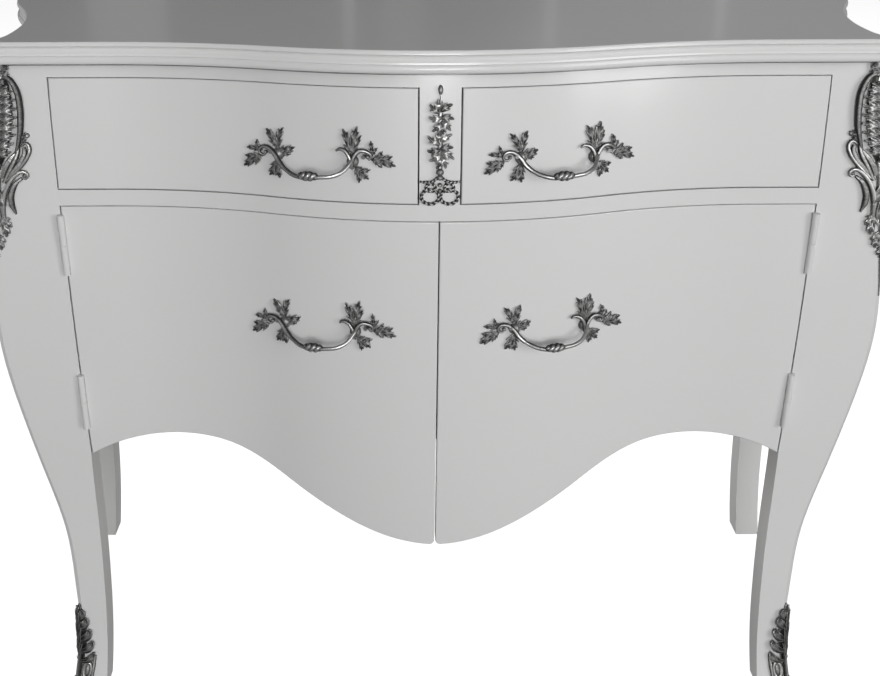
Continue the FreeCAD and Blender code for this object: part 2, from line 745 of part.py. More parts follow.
def side_room(inset):
    """The right half of the space inside the side's outer face, moved in by inset.

    Each section blends the post's outline into the upright line of the rear leg.
    """
    low = float(size.side_low)
    outline = [(z, taper_half(outer, front, float(post_back)))
               for z, outer, front, _, _ in post_stations()]
    wires = []
    for index in range(SIDE_SECTIONS):
        share = index / (SIDE_SECTIONS - 1)
        blend = (1 - math.cos(math.pi * share)) / 2
        y = float(post_back) + (float(rear_back) - float(post_back)) * share
        points = []
        for z, outer in outline:
            points.append(Vector(outer + (float(side_back_half) - outer) * blend - inset, y, z))
        top, foot = points[0], points[-1]
        corners = (foot, Vector(0, y, foot.z), Vector(0, y, top.z), top)
        edges = [curve(points)] + [line(a, b) for a, b in zip(corners, corners[1:])]
        wires.append(Part.Wire(Part.__sortEdges__(edges)))
    under = Part.makeBox(2 * float(slab_back_half), 2 * float(size.slab_depth), low,
                         Vector(0, -float(size.slab_depth), 0))
    return Part.makeLoft(wires, True, False).cut(under)


outer_room = side_room(0)
inner_room = side_room(float(size.side_thick))


def side_arch():
    """The shallow round that lifts the lower edge of a side panel."""
    start = float(post_back) + float(size.side_arch_margin)
    end = float(rear_front) - float(size.side_arch_margin)
    low = float(size.side_low)
    rise = float(size.side_arch_rise)
    foot = (Vector(0, start, low), Vector(0, end, low))
    crown = Vector(0, (start + end) / 2, low + rise)
    round_face = face([arc(foot[0], crown, foot[1]), line(*foot)])
    return round_face.extrude(Vector(2 * float(slab_back_half), 0, 0))


arched_side = outer_room.cut([inner_room, side_arch()])
for side_name, sign in SIDES:
    panel = solid(f"side_panel_sheet_{side_name}", mirrored(arched_side, sign))
    timber = nodes[f"rear_leg_{side_name}"]
    keep(f"side_panel_{side_name}", cut(f"side_panel_{side_name}", panel, timber))


# Boards of the carcass.

def inside_sides(inset):
    """The space between the two sides, moved in by inset."""
    right = side_room(float(size.side_thick) + inset)
    return right.fuse(mirrored(right, -1)).removeSplitter()


def slice_box(x_half, y_low, y_high, z_low, z_high):
    lengths = (2 * float(x_half), float(y_high) - float(y_low), float(z_high) - float(z_low))
    return Part.makeBox(*lengths, Vector(-float(x_half), float(y_low), float(z_low)))


def carcass_board(z_low, z_high, y_back, inset, front_inset):
    """A level board that fills the plan between posts, sides and rear legs, less inset."""
    behind = slice_box(slab_back_half, float(post_back) + inset, y_back, z_low, z_high)
    between = slice_box(float(size.opening_half) - inset, slab_front, rear_front, z_low, z_high)
    plate = behind.common(inside_sides(inset)).fuse(between.common(front_room(front_inset)))
    notches = []
    for sign in (-1, 1):
        low_x = float(rear_inner) - inset
        x = low_x if sign > 0 else -low_x - float(slab_back_half)
        notches.append(Part.makeBox(float(slab_back_half), float(size.slab_depth), float(z_high),
                                    Vector(x, float(rear_front) - inset, 0)))
    return plate.cut(notches).removeSplitter()


behind_doors = float(size.panel_thick) + float(size.door_back_gap)
carcass_boards = (
    # name, underside, top, back, gap to the timbers, front behind the front sheet
    ("bottom_board", size.bottom_low, size.bottom_low + size.board_thick, back_front, 0, behind_doors),
    ("dust_board", rail_low, rail_top, back_front, 0, float(size.panel_thick)),
    ("shelf", size.shelf_low, size.shelf_low + size.board_thick, back_front - size.shelf_back_gap,
     float(size.shelf_gap), behind_doors),
)
for label, *shape_sizes in carcass_boards:
    keep(label, solid(label, carcass_board(*shape_sizes)))
keep("back_panel", board("back_panel", (-rear_inner, rear_inner), (back_front, rear_back),
                         (size.bottom_low, carcass_top)))
keep("rear_top_rail", board("rear_top_rail", (-rear_inner, rear_inner),
                            (back_front - size.rear_rail_thick, back_front),
                            (carcass_top - size.rear_rail_height, carcass_top)))

# Front rails and muntin, cut from the band.

whole_depth = (slab_front, size.slab_depth / 2)
front_pieces = (
    ("top_rail", (-size.opening_half, size.opening_half), (top_rail_low, carcass_top)),
    ("mid_rail", (-size.opening_half, size.opening_half), (rail_low, rail_top)),
    ("muntin", (-muntin_half, muntin_half), (rail_top, top_rail_low)),
)
for label, x_span, z_span in front_pieces:
    keep(label, common(label, band, board(f"{label}_outline", x_span, whole_depth, z_span)))

partition_half = size.partition_thick / 2
partition_top = carcass_top - size.rear_rail_height
partition_board = board("partition_outline", (-partition_half, partition_half),
                        (slab_front, back_front), (rail_top, partition_top))
keep("drawer_partition", common("drawer_partition", room, partition_board))

# Strips that guide, hold down and stop the drawers.

side_outer = size.opening_half - size.drawer_side_gap
side_inner = muntin_half + size.drawer_side_gap
guide_back = rear_front - size.guide_end_gap
kicker_back = back_front - size.rear_rail_thick - size.guide_end_gap
kicker_low = drawer_rim + size.kicker_gap
guides = []
kickers = []
stops = []
for side_name, sign in SIDES:
    outer_low = side_outer + size.guide_gap
    guides.append(board(f"outer_guide_{side_name}", span(sign, outer_low, outer_low + size.guide_width),
                        (post_back, guide_back), (rail_top, rail_top + size.guide_height)))
    guides.append(board(f"inner_guide_{side_name}", span(sign, partition_half, side_inner - size.guide_gap),
                        (post_back, guide_back), (rail_top, rail_top + size.guide_height)))
    kickers.append(board(f"outer_kicker_{side_name}",
                         span(sign, size.opening_half - size.kicker_width, size.opening_half),
                         (post_back, kicker_back), (kicker_low, carcass_top)))
    kickers.append(board(f"inner_kicker_{side_name}",
                         span(sign, partition_half, partition_half + size.kicker_width),
                         (post_back, kicker_back), (kicker_low, carcass_top)))
    middle = (side_outer + side_inner) / 2
    stops.append(board(f"stop_{side_name}",
                       span(sign, middle - size.stop_width / 2, middle + size.stop_width / 2),
                       (drawer_back + size.stop_gap, drawer_back + size.stop_gap + size.stop_depth),
                       (rail_top, rail_top + size.stop_height)))
keep("drawer_guides", group("drawer_guides", guides))
keep("drawer_kickers", group("drawer_kickers", kickers))
keep("drawer_stops", group("drawer_stops", stops))


# Cast pulls: a rigid bow on two leafy feet, seated on the front sheet.

PULL_LEAVES = (
    # direction in degrees, length, width
    (160, 30, 15),
    (60, 28, 14),
    (110, 24, 12),
    (250, 24, 13),
)


LEAF_BROADEST = 0.42
HALF_TURN = 180


def leaf(direction, length, width, depth):
    """A flat pointed leaf in the XZ plane, pointing away from the origin, depth thick each way."""
    start = Vector(0, 0, 0)
    tip = Vector(length, 0, 0)
    upper = Vector(length * LEAF_BROADEST, 0, width / 2)
    lower = Vector(length * LEAF_BROADEST, 0, -width / 2)
    blade = face([arc(start, upper, tip), arc(start, lower, tip)]).extrude(Vector(0, -2 * depth, 0))
    blade.translate(Vector(0, depth, 0))
    blade.rotate(Vector(0, 0, 0), Vector(0, 1, 0), -direction)
    return blade


def pull_frame(height):
    """Where a left pull sits: its middle on the chord between its feet, -Y away from the front."""
    place = -float(size.pull_place)
    half = float(size.pull_spacing) / 2
    ends = [Vector(x, sheet_y(x, float(height)), float(height)) for x in (place - half, place + half)]
    lean = math.degrees(math.atan2(ends[1].y - ends[0].y, ends[1].x - ends[0].x))
    return FreeCAD.Placement((ends[0] + ends[1]) / 2, FreeCAD.Rotation(Vector(0, 0, 1), lean))


def pull_casting():
    """The pull in its own frame, reaching a little behind the front so that it can be trimmed."""
    half = float(size.pull_spacing) / 2
    boss = float(size.pull_boss_height)
    thick = float(size.pull_leaf_thick)
    start = Vector(-half, -boss, 0)
    end = Vector(half, -boss, 0)
    middle = Vector(0, -float(size.pull_reach), -float(size.pull_sag))
    bow = arc(start, middle, end)
    tangent = bow.tangentAt(bow.FirstParameter)
    section = Part.Face(Part.Wire([Part.makeCircle(float(size.pull_bow_radius), start, tangent)]))
    sweep = math.degrees(bow.LastParameter - bow.FirstParameter)
    pieces = [section.revolve(bow.Curve.Center, bow.Curve.Axis, sweep)]
    pieces.append(Part.makeSphere(float(size.pull_bead_radius), middle, Vector(1, 0, 0)))
    for sign in (-1, 1):
        outward = Vector(0, -1, 0)
        foot = Vector(sign * half, boss, 0)
        pieces.append(Part.makeCylinder(float(size.pull_boss_radius), 2 * boss, foot, outward))
        pieces.append(Part.makeSphere(float(size.pull_boss_radius), foot + outward * (2 * boss), outward))
        for direction, length, width in PULL_LEAVES:
            blade = leaf(direction if sign < 0 else HALF_TURN - direction, length, width, thick)
            blade.translate(Vector(sign * half, 0, 0))
            pieces.append(blade)
    return pieces[0].multiFuse(pieces[1:]).removeSplitter()


def pull_screws(height):
    """The two machine screws that hold a left pull, from behind the front."""
    frame = pull_frame(height)
    half = float(size.pull_spacing) / 2
    radius = float(size.pull_screw_radius)
    screws = []
    for end in (-1, 1):
        seat = frame.multVec(Vector(end * half, 0, 0))
        depth = sheet_y(seat.x, seat.z) - seat.y
        head_y = depth + float(size.panel_thick)
        length = head_y + float(size.pull_screw_grip)
        rod = Part.makeCylinder(radius, length, Vector(end * half, head_y, 0), Vector(0, -1, 0))
        head = Part.makeCylinder(float(size.pull_screw_head), float(size.pull_screw_head_height),
                                 Vector(end * half, head_y, 0), Vector(0, 1, 0))
        screw = rod.fuse(head).removeSplitter()
        screw.Placement = frame
        screws.append(screw)
    return screws


casting = pull_casting()


def add_pull(label, sign, height):
    """One pull and its screws; returns the screws, which the front is then drilled for."""
    screws = pull_screws(height)
    pull = casting.copy()
    pull.Placement = pull_frame(height)
    pull = pull.cut([front_skin] + screws)
    screws = [mirrored(screw, -sign) for screw in screws]
    keep(f"{label}_pull", solid(f"{label}_pull", mirrored(pull, -sign)))
    keep(f"{label}_pull_screws", solid(f"{label}_pull_screws", Part.Compound(screws)))
    return screws


# Drawers.

drawer_pull_height = drawer_low + size.drawer_front_height / 2 - size.drawer_pull_drop
for side_name, sign in SIDES:
    label = f"drawer_{side_name}"
    screws = add_pull(label, sign, drawer_pull_height)
    front_span = span(sign, muntin_half + size.muntin_gap, size.opening_half - size.drawer_gap)
    front_outline = board(f"{label}_front_outline", front_span, whole_depth, (drawer_low, drawer_top))
    blank = common(f"{label}_front_blank", band, front_outline)
    doc.recompute()
    front = soften(blank.Shape, float(size.edge_round)).cut(screws)
    keep(f"{label}_front", solid(f"{label}_front", front))

    board_z = (drawer_under, drawer_rim)
    bottom_low = drawer_under + size.drawer_bottom_rise
    bottom_high = bottom_low + size.drawer_bottom_thick
    inside_low = side_inner + size.drawer_board
    inside_high = side_outer - size.drawer_board
    bottom_span = span(sign, inside_low - size.groove_depth, inside_high + size.groove_depth)
    bottom_sheet = board(f"{label}_bottom_sheet", bottom_span, (slab_front, drawer_back),
                         (bottom_low, bottom_high))
    bottom = keep(f"{label}_bottom", common(f"{label}_bottom", room, bottom_sheet))
    for part_name, low, high in (("outer_side", inside_high, side_outer),
                                 ("inner_side", side_inner, inside_low)):
        blank_side = board(f"{label}_{part_name}_board", span(sign, low, high),
                           (slab_front, drawer_back), board_z)
        fitted = common(f"{label}_{part_name}_fitted", room, blank_side)
        keep(f"{label}_{part_name}", cut(f"{label}_{part_name}", fitted, bottom))
    keep(f"{label}_back", board(f"{label}_back", span(sign, inside_low, inside_high),
                                (drawer_back - size.drawer_board, drawer_back), (bottom_high, drawer_rim)))


# Doors.

def door_outline():
    """The right door seen from the front: straight top and edges, a waved lower edge."""
    top = float(door_top)
    outer = float(door_edge)
    inner = float(size.meeting_gap) / 2
    corner = float(size.door_corner_radius)
    low = float(size.pendant_low)
    away = -float(size.slab_depth)
    round_end = (float(size.pendant_run), low + float(size.pendant_lift))
    slope_end = (round_end[0] + float(size.slope_run), round_end[1] + float(size.slope_lift))
    arch_start = (float(size.arch_start_place), float(size.arch_height) - float(size.arch_start_drop))
    arch_top = (float(size.arch_place), float(size.arch_height))
    hinge_end = (outer, float(size.door_outer_low))
    wave_points = ((inner + corner, low), round_end, slope_end, arch_start, arch_top, hinge_end)
    wave = curve([Vector(x, away, z) for x, z in wave_points])
    slant = corner * (1 - math.sqrt(0.5))
    edges = [
        line(Vector(inner, away, top), Vector(outer, away, top)),
        line(Vector(outer, away, top), Vector(outer, away, float(size.door_outer_low))),
        wave,
        arc(Vector(inner + corner, away, low), Vector(inner + slant, away, low + slant),
            Vector(inner, away, low + corner)),
        line(Vector(inner, away, low + corner), Vector(inner, away, top)),
    ]
    return face(edges).extrude(Vector(0, 2 * float(size.slab_depth), 0))


def hinge_pin(sign, height):
    """The pin, fast in the lower barrel and free in the upper one."""
    half = float(size.hinge_length) / 2 - float(size.pin_end)
    pin = Part.makeCylinder(float(size.pin_radius), 2 * half - float(size.barrel_gap), Vector(0, 0, -half))
    pin.Placement = hinge_place(sign, height)
    return pin


plain_door = soften(door_outline().common(front_skin), float(size.edge_round))
hinge_pins = []
for side_name, sign in SIDES:
    label = f"door_{side_name}"
    pull = add_pull(label, sign, door_top - size.door_pull_drop)
    leaf_screws = [screw for _, height in HINGES for screw in hinge_screw(sign, height, -1)]
    leaves = []
    for hinge_name, height in HINGES:
        door_leaf = hinge_leaf(sign, height, -1)
        leaf_label = f"hinge_door_leaf_{hinge_name}_{side_name}"
        keep(leaf_label, solid(leaf_label, door_leaf))
        leaves.append(door_leaf)
        hinge_pins.append(hinge_pin(sign, height))
    panel = mirrored(plain_door, sign).cut([hinge_relief(sign)] + leaf_screws + pull + leaves)
    keep(f"{label}_panel", solid(f"{label}_panel", panel))
    keep(f"{label}_hinge_screws", solid(f"{label}_hinge_screws", Part.Compound(leaf_screws)))
keep("hinge_pins", solid("hinge_pins", Part.Compound(hinge_pins)))


# Cast mounts on the posts and feet, and the drop on the muntin.

def mount_prism(levels):
    """A shape seen square on to the canted corner: half widths at heights, along the corner line."""
    far = float(size.slab_depth)
    cant = float(size.cant_width) / 2
    outline = curve([Vector(outer - cant, front + cant, z) for z, outer, front, _, _ in post_stations()])
    left = []
    right = []
    for z, half in levels:
        level = Part.makePlane(4 * far, 4 * far, Vector(-2 * far, -2 * far, z))
        point = outline.distToShape(level)[1][0][0]
        across = point.dot(ACROSS)
        left.append(ACROSS * (across - half) + Vector(0, 0, z))
        right.append(ACROSS * (across + half) + Vector(0, 0, z))
    return prism([curve(left)], [curve(right)], OUTWARD * (2 * far))


CORNER_MOUNT_SHAPE = (
    # share of the length below the top, share of the half width
    (0.0, 0.45), (0.1, 0.9), (0.22, 1.0), (0.36, 0.75), (0.45, 0.5),
    (0.53, 0.72), (0.62, 0.45), (0.8, 0.2), (1.0, 0.05),
)
FOOT_MOUNT_SHAPE = (
    # share of the height below the tip, share of the half width
    (0.0, 0.08), (0.15, 0.5), (0.4, 0.85), (0.7, 1.0), (1.0, 0.95),
)

shell = post_shape(float(size.mount_thick)).cut(plain_post)
corner_top = float(carcass_top) - float(size.corner_mount_drop)
corner_length = float(size.corner_mount_length)
corner_levels = [(corner_top - corner_length * share, float(size.corner_mount_half) * width)
                 for share, width in CORNER_MOUNT_SHAPE]
foot_span = float(size.foot_mount_height) - float(size.foot_mount_low)
foot_levels = [(float(size.foot_mount_height) - foot_span * share, float(size.foot_mount_half) * width)
               for share, width in FOOT_MOUNT_SHAPE]
for label, levels in (("corner_mount", corner_levels), ("foot_mount", foot_levels)):
    mount = shell.common(mount_prism(levels))
    for side_name, sign in SIDES:
        keep(f"{label}_{side_name}", solid(f"{label}_{side_name}", mirrored(mount, sign)))


DROP_LEAVES = (
    # share of the length below the top, direction in degrees, share of the length it reaches
    (0.12, 90, 0.14),
    (0.36, 90, 0.3), (0.36, 58, 0.24), (0.36, 122, 0.24),
    (0.72, 90, 0.38), (0.72, 64, 0.3), (0.72, 116, 0.3),
    (0.82, 10, 0.16), (0.82, 170, 0.16), (0.86, 90, 0.24),
)
DROP_KNOT = 0.82


def drop_shape():
    """Two leafy clusters, a bow with its knot and two rings, hanging down the muntin."""
    top = float(carcass_top) - float(size.drop_top)
    length = float(size.drop_length)
    ring = float(size.drop_ring_radius)
    wire = float(size.drop_wire_radius)
    pieces = []
    for share, direction, reach in DROP_LEAVES:
        z = top - length * share
        blade = leaf(direction, length * reach, float(size.drop_leaf_width), float(size.drop_thick))
        blade.translate(Vector(0, sheet_y(0, z), z))
        pieces.append(blade)
    knot_z = top - length * DROP_KNOT
    pieces.append(Part.makeSphere(float(size.drop_knot_radius), Vector(0, sheet_y(0, knot_z), knot_z)))
    for sign in (-1, 1):
        x = sign * (ring + wire)
        z = top - length + ring + wire
        seat = Vector(x, sheet_y(x, z) - wire + float(size.drop_ring_sink), z)
        pieces.append(Part.makeTorus(ring, wire, seat, Vector(0, 1, 0)))
    return pieces[0].multiFuse(pieces[1:]).cut(front_skin).removeSplitter()


keep("drop_ornament", solid("drop_ornament", drop_shape()))

doc.recompute()
failed = [item.Label for item in doc.Objects if set(item.State) & {"Invalid", "Error"}]
failed += [label for label, item in nodes.items() if item.Shape.isNull() or not item.Shape.isValid()]
if failed:
    raise RuntimeError("objects that failed: " + ", ".join(failed))

os.makedirs("parts", exist_ok=True)
for label, item in nodes.items():
    item.Shape.exportStep(f"parts/{label}.step")
    print(f"{label}: {len(item.Shape.Solids)} solid(s), volume {item.Shape.Volume:.0f}")
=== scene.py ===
"""White lacquered serpentine commode, dressed for its picture.

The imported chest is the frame. This file gives its timber and metal their finishes, puts cast
foliage in the place of the plain pulls and mounts, and sets the floor, the light and the camera.
Metres, +Z up, the front towards -Y; the castings are drawn in millimetres.
"""

import json
import math

import bpy
import numpy as np
from mathutils import Matrix, Vector
from mathutils.bvhtree import BVHTree


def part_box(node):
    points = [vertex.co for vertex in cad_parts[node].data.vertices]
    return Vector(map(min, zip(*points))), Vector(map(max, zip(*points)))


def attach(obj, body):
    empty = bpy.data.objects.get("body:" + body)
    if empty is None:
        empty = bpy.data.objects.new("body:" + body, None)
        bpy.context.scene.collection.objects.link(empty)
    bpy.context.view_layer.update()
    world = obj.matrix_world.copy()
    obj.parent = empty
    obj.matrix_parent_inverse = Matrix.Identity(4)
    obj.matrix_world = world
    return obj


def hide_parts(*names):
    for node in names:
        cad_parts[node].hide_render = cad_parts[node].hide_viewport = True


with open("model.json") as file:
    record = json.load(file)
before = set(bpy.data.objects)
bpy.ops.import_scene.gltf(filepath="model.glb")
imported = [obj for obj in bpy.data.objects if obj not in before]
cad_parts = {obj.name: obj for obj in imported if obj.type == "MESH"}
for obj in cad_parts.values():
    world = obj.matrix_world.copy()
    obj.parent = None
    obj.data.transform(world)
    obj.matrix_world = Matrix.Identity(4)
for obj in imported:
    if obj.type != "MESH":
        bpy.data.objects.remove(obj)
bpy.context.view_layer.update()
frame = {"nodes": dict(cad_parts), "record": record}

bl_info = {
    "name": "Serpentine Commode",
    "version": (1, 0, 0),
    "blender": (4, 5, 0),
    "location": "View3D > Sidebar > Commode",
    "description": "Finishes, cast ornaments and studio for a lacquered serpentine commode",
    "category": "Object",
}

MM = 0.001
SILVER = "antique_silver"
SILVER_FINISH = "aged_silver"

# The front of the chest: a serpentine plan line turned about a far level axis.
FRONT_RISE = 0.060
FRONT_REACH = 0.340
POST_FRONT = -0.174
SWELL_RADIUS = 2.5
SWELL_HEIGHT = 0.6
# The posts: a canted corner whose sides run on round it.
CANT_WIDTH = 0.006
SIDE_TAPER = 9 / 48


class CommodeFinishes(bpy.types.PropertyGroup):
    """Colours and gloss of the chest."""

    lacquer_colour: bpy.props.FloatVectorProperty(
        name="Lacquer", description="Colour of the white lacquer", subtype="COLOR",
        size=3, min=0.0, max=1.0, default=(0.80, 0.80, 0.795))
    lacquer_roughness: bpy.props.FloatProperty(
        name="Lacquer Roughness", description="Gloss of the lacquer under its clear coat",
        subtype="FACTOR", min=0.0, max=1.0, default=0.34)
    lacquer_ripple: bpy.props.FloatProperty(
        name="Lacquer Ripple", description="Strength of the brushed ripple in the lacquer",
        subtype="FACTOR", min=0.0, max=1.0, default=0.05)
    silver_bright: bpy.props.FloatVectorProperty(
        name="Silver, Rubbed", description="Colour of the castings on their high places",
        subtype="COLOR", size=3, min=0.0, max=1.0, default=(0.60, 0.60, 0.59))
    silver_dark: bpy.props.FloatVectorProperty(
        name="Silver, Darkened", description="Colour of the castings in their hollows",
        subtype="COLOR", size=3, min=0.0, max=1.0, default=(0.036, 0.035, 0.034))
    wood_light: bpy.props.FloatVectorProperty(
        name="Wood, Early", description="Pale rings of the bare wood",
        subtype="COLOR", size=3, min=0.0, max=1.0, default=(0.58, 0.44, 0.29))
    wood_dark: bpy.props.FloatVectorProperty(
        name="Wood, Late", description="Darker rings of the bare wood",
        subtype="COLOR", size=3, min=0.0, max=1.0, default=(0.40, 0.27, 0.16))
    steel_colour: bpy.props.FloatVectorProperty(
        name="Steel", description="Colour of screws and pins",
        subtype="COLOR", size=3, min=0.0, max=1.0, default=(0.52, 0.52, 0.53))


class CommodeCastings(bpy.types.PropertyGroup):
    """Sizes of the cast ornaments."""

    pull_place: bpy.props.FloatProperty(
        name="Pull Place", description="Middle of a pull from the centre line",
        unit="LENGTH", default=0.122)
    bow_radius: bpy.props.FloatProperty(
        name="Bow Radius", description="Half thickness of a pull's bow",
        unit="LENGTH", default=0.0021)
    leaf_thick: bpy.props.FloatProperty(
        name="Leaf Thickness", description="Thickness of the cast leaves",
        unit="LENGTH", default=0.0024)
    leaf_lift: bpy.props.FloatProperty(
        name="Leaf Lift", description="How far a leaf arches off its seat",
        unit="LENGTH", default=0.0028)
    seat_sink: bpy.props.FloatProperty(
        name="Seat Sink", description="How deep the castings sit in what carries them",
        unit="LENGTH", default=0.0006)


class CommodeStudio(bpy.types.PropertyGroup):
    """Camera, light and floor."""

    camera_place: bpy.props.FloatVectorProperty(
        name="Camera Place", description="Where the camera stands",
        subtype="XYZ", unit="LENGTH", size=3, default=(-0.043, -1.402, 1.011))
    camera_turn: bpy.props.FloatVectorProperty(
        name="Camera Turn", description="Pitch down, roll and yaw of the camera",
        subtype="EULER", size=3,
        default=(math.radians(22.93), math.radians(-0.27), math.radians(-0.38)))
    camera_lens: bpy.props.FloatProperty(
        name="Lens", description="Focal length on a 36 mm sensor", default=49.09)
    camera_shift: bpy.props.FloatProperty(
        name="Shift", description="Sideways shift of the picture", default=0.0569)
    key_power: bpy.props.FloatProperty(
        name="Key Light", description="Power of the large light on the right",
        unit="POWER", default=130.0)
    high_power: bpy.props.FloatProperty(
        name="High Light", description="Power of the light high above the top",
        unit="POWER", default=41.0)
    front_power: bpy.props.FloatProperty(
        name="Front Light", description="Power of the far light in front",
        unit="POWER", default=172.0)
    fill_power: bpy.props.FloatProperty(
        name="Fill Light", description="Power of the light on the left",
        unit="POWER", default=2.0)
    back_power: bpy.props.FloatProperty(
        name="Back Light", description="Power of the light behind, which the top mirrors",
        unit="POWER", default=6.0)
    low_power: bpy.props.FloatProperty(
        name="Low Light", description="Power of the light low behind, which shows the back",
        unit="POWER", default=62.0)
    left_power: bpy.props.FloatProperty(
        name="Left Light", description="Power of the low light that shows the left side",
        unit="POWER", default=120.0)
    right_power: bpy.props.FloatProperty(
        name="Right Light", description="Power of the low light that shows the right side",
        unit="POWER", default=50.0)
    strip_glow: bpy.props.FloatProperty(
        name="Strip Glow", description="Brightness of the strips behind, which streak the top",
        min=0.0, default=0.16)
    room_light: bpy.props.FloatProperty(
        name="Room Light", description="Brightness of the room round the chest",
        subtype="FACTOR", min=0.0, max=1.0, default=0.08)
    room_white: bpy.props.FloatProperty(
        name="Room White", description="Brightness of the backdrop in the picture",
        subtype="FACTOR", min=0.0, max=1.0, default=0.93)
    floor_colour: bpy.props.FloatVectorProperty(
        name="Floor", description="Colour of the floor", subtype="COLOR",
        size=3, min=0.0, max=1.0, default=(0.82, 0.82, 0.82))
    floor_bounce: bpy.props.FloatProperty(
        name="Floor Bounce", description="Share of the light that the floor throws back on the chest",
        subtype="FACTOR", min=0.0, max=1.0, default=0.22)
    floor_glow: bpy.props.FloatProperty(
        name="Floor Glow", description="Even light that the floor gives back to the picture",
        subtype="FACTOR", min=0.0, max=1.0, default=0.84)


# Curves and closed surfaces, as whole arrays of (across, up, out) points in millimetres.
# u runs along a form, v or an angle runs across or round it.

TINY = 1e-9
OUTWARD = (0.0, 0.0, 1.0)


def smooth_line(points, count):
    """A Catmull-Rom line through the points, its samples spread evenly by chord length."""
    points = np.asarray(points, float)
    ghosts = np.vstack([2 * points[0] - points[1], points, 2 * points[-1] - points[-2]])
    lengths = np.concatenate([[0.0], np.cumsum(np.linalg.norm(np.diff(points, axis=0), axis=1))])
    place = np.interp(np.linspace(0.0, lengths[-1], count), lengths, np.arange(len(points)))
    index = np.minimum(place.astype(int), len(points) - 2)
    share = (place - index)[:, None]
    a, b, c, d = (ghosts[index + step] for step in range(4))
    return b + 0.5 * share * (c - a + share * (2 * a - 5 * b + 4 * c - d + share * (3 * (b - c) + d - a)))


def unit(vectors):
    """Vectors brought to a length of one; a vector without length keeps none."""
    return vectors / np.maximum(np.linalg.norm(vectors, axis=-1, keepdims=True), TINY)


def axes_along(path, outward):
    """Directions across and out of a path, square to its tangent."""
    tangent = unit(np.gradient(path, axis=0))
    across = unit(np.cross(tangent, outward))
    return across, np.cross(across, tangent)


class Casting:
    """One cast piece: closed surfaces gathered into a single mesh.

    Each point has a patina value, from 0 where the metal is rubbed bright to 1 where it is dark; along the
    pull's bow it also holds a painted reflection.
    """

    def __init__(self):
        self.points = []
        self.patina = []
        self.quads = []
        self.triangles = []
        self.count = 0

    def keep(self, points, patina, quads, triangles):
        """Add one surface to those gathered so far."""
        self.points.append(points)
        self.patina.append(patina)
        self.quads.append(quads)
        self.triangles.append(triangles)
        self.count += len(points)

    def add_rings(self, rings, patina):
        """A surface of closed rings, capped with a pole at each end."""
        rows, columns = rings.shape[:2]
        index = self.count + np.arange(rows * columns).reshape(rows, columns)
        beside = np.roll(index, -1, axis=1)
        quads = np.stack([index[:-1], index[1:], beside[1:], beside[:-1]], axis=-1).reshape(-1, 4)
        poles = np.stack([rings[0].mean(axis=0), rings[-1].mean(axis=0)])
        first = np.full(columns, self.count + rows * columns)
        caps = np.concatenate([np.stack([first, index[0], beside[0]], axis=-1),
                               np.stack([first + 1, beside[-1], index[-1]], axis=-1)])
        values = np.concatenate([patina.ravel(), [patina[0].mean(), patina[-1].mean()]])
        self.keep(np.concatenate([rings.reshape(-1, 3), poles]), values, quads, caps)

    def add_loop(self, rings, patina):
        """A surface of closed rings that runs back into itself."""
        rows, columns = rings.shape[:2]
        index = self.count + np.arange(rows * columns).reshape(rows, columns)
        beside = np.roll(index, -1, axis=1)
        ahead = np.roll(index, -1, axis=0)
        corner = np.roll(beside, -1, axis=0)
        quads = np.stack([index, ahead, corner, beside], axis=-1).reshape(-1, 4)
        self.keep(rings.reshape(-1, 3), patina.ravel(), quads, np.zeros((0, 3), int))

    def make(self, name, seat, mirror=False):
        """Put the drawn points on their seat and make the object; mirror turns it left for right."""
        points = seat(np.concatenate(self.points) * MM)
        quads = np.concatenate(self.quads)
        triangles = np.concatenate(self.triangles)
        if mirror:
            points = points * np.array([-1.0, 1.0, 1.0])
            quads = quads[:, ::-1]
            triangles = triangles[:, ::-1]
        mesh = bpy.data.meshes.new(name)
        corners = np.concatenate([quads.ravel(), triangles.ravel()]).astype(np.int32)
        totals = np.concatenate([np.full(len(quads), 4), np.full(len(triangles), 3)]).astype(np.int32)
        mesh.vertices.add(len(points))
        mesh.vertices.foreach_set("co", points.astype(np.float32).ravel())
        mesh.loops.add(len(corners))
        mesh.loops.foreach_set("vertex_index", corners)
        mesh.polygons.add(len(totals))
        mesh.polygons.foreach_set("loop_start", np.cumsum(totals, dtype=np.int32) - totals)
        mesh.polygons.foreach_set("use_smooth", np.ones(len(totals), bool))
        patina = mesh.attributes.new("patina", "FLOAT", "POINT")
        patina.data.foreach_set("value", np.concatenate(self.patina).astype(np.float32))
        mesh.update(calc_edges=True)
        mesh.validate()
        piece = bpy.data.objects.new(name, mesh)
        bpy.context.scene.collection.objects.link(piece)
        mesh.materials.append(bpy.data.materials[SILVER_FINISH])
        return piece


ROD_SIDES = 16
BEAD_ROWS = 14
BEAD_POLE = 0.06
RING_ROWS = 144
ROPE_DIP = 0.18
ROPE_DARK = 0.5
GROOVE_WIDTH = 0.45
GROOVE_DARK = 1.6


def along_share(values, share):
    """Read a row of numbers, spread evenly over a line, at each share of its length."""
    values = np.atleast_1d(values)
    return np.interp(share, np.linspace(0.0, 1.0, len(values)), values)[:, None]


def angles_round(count):
    """Even angles round a ring, as one row."""
    return 2 * np.pi * np.arange(count)[None] / count


def rope_swell(strand):
    """Thickness of a rope of two strands: whole on a strand, thinner in the hollow between them."""
    return 1 - ROPE_DIP + ROPE_DIP * strand


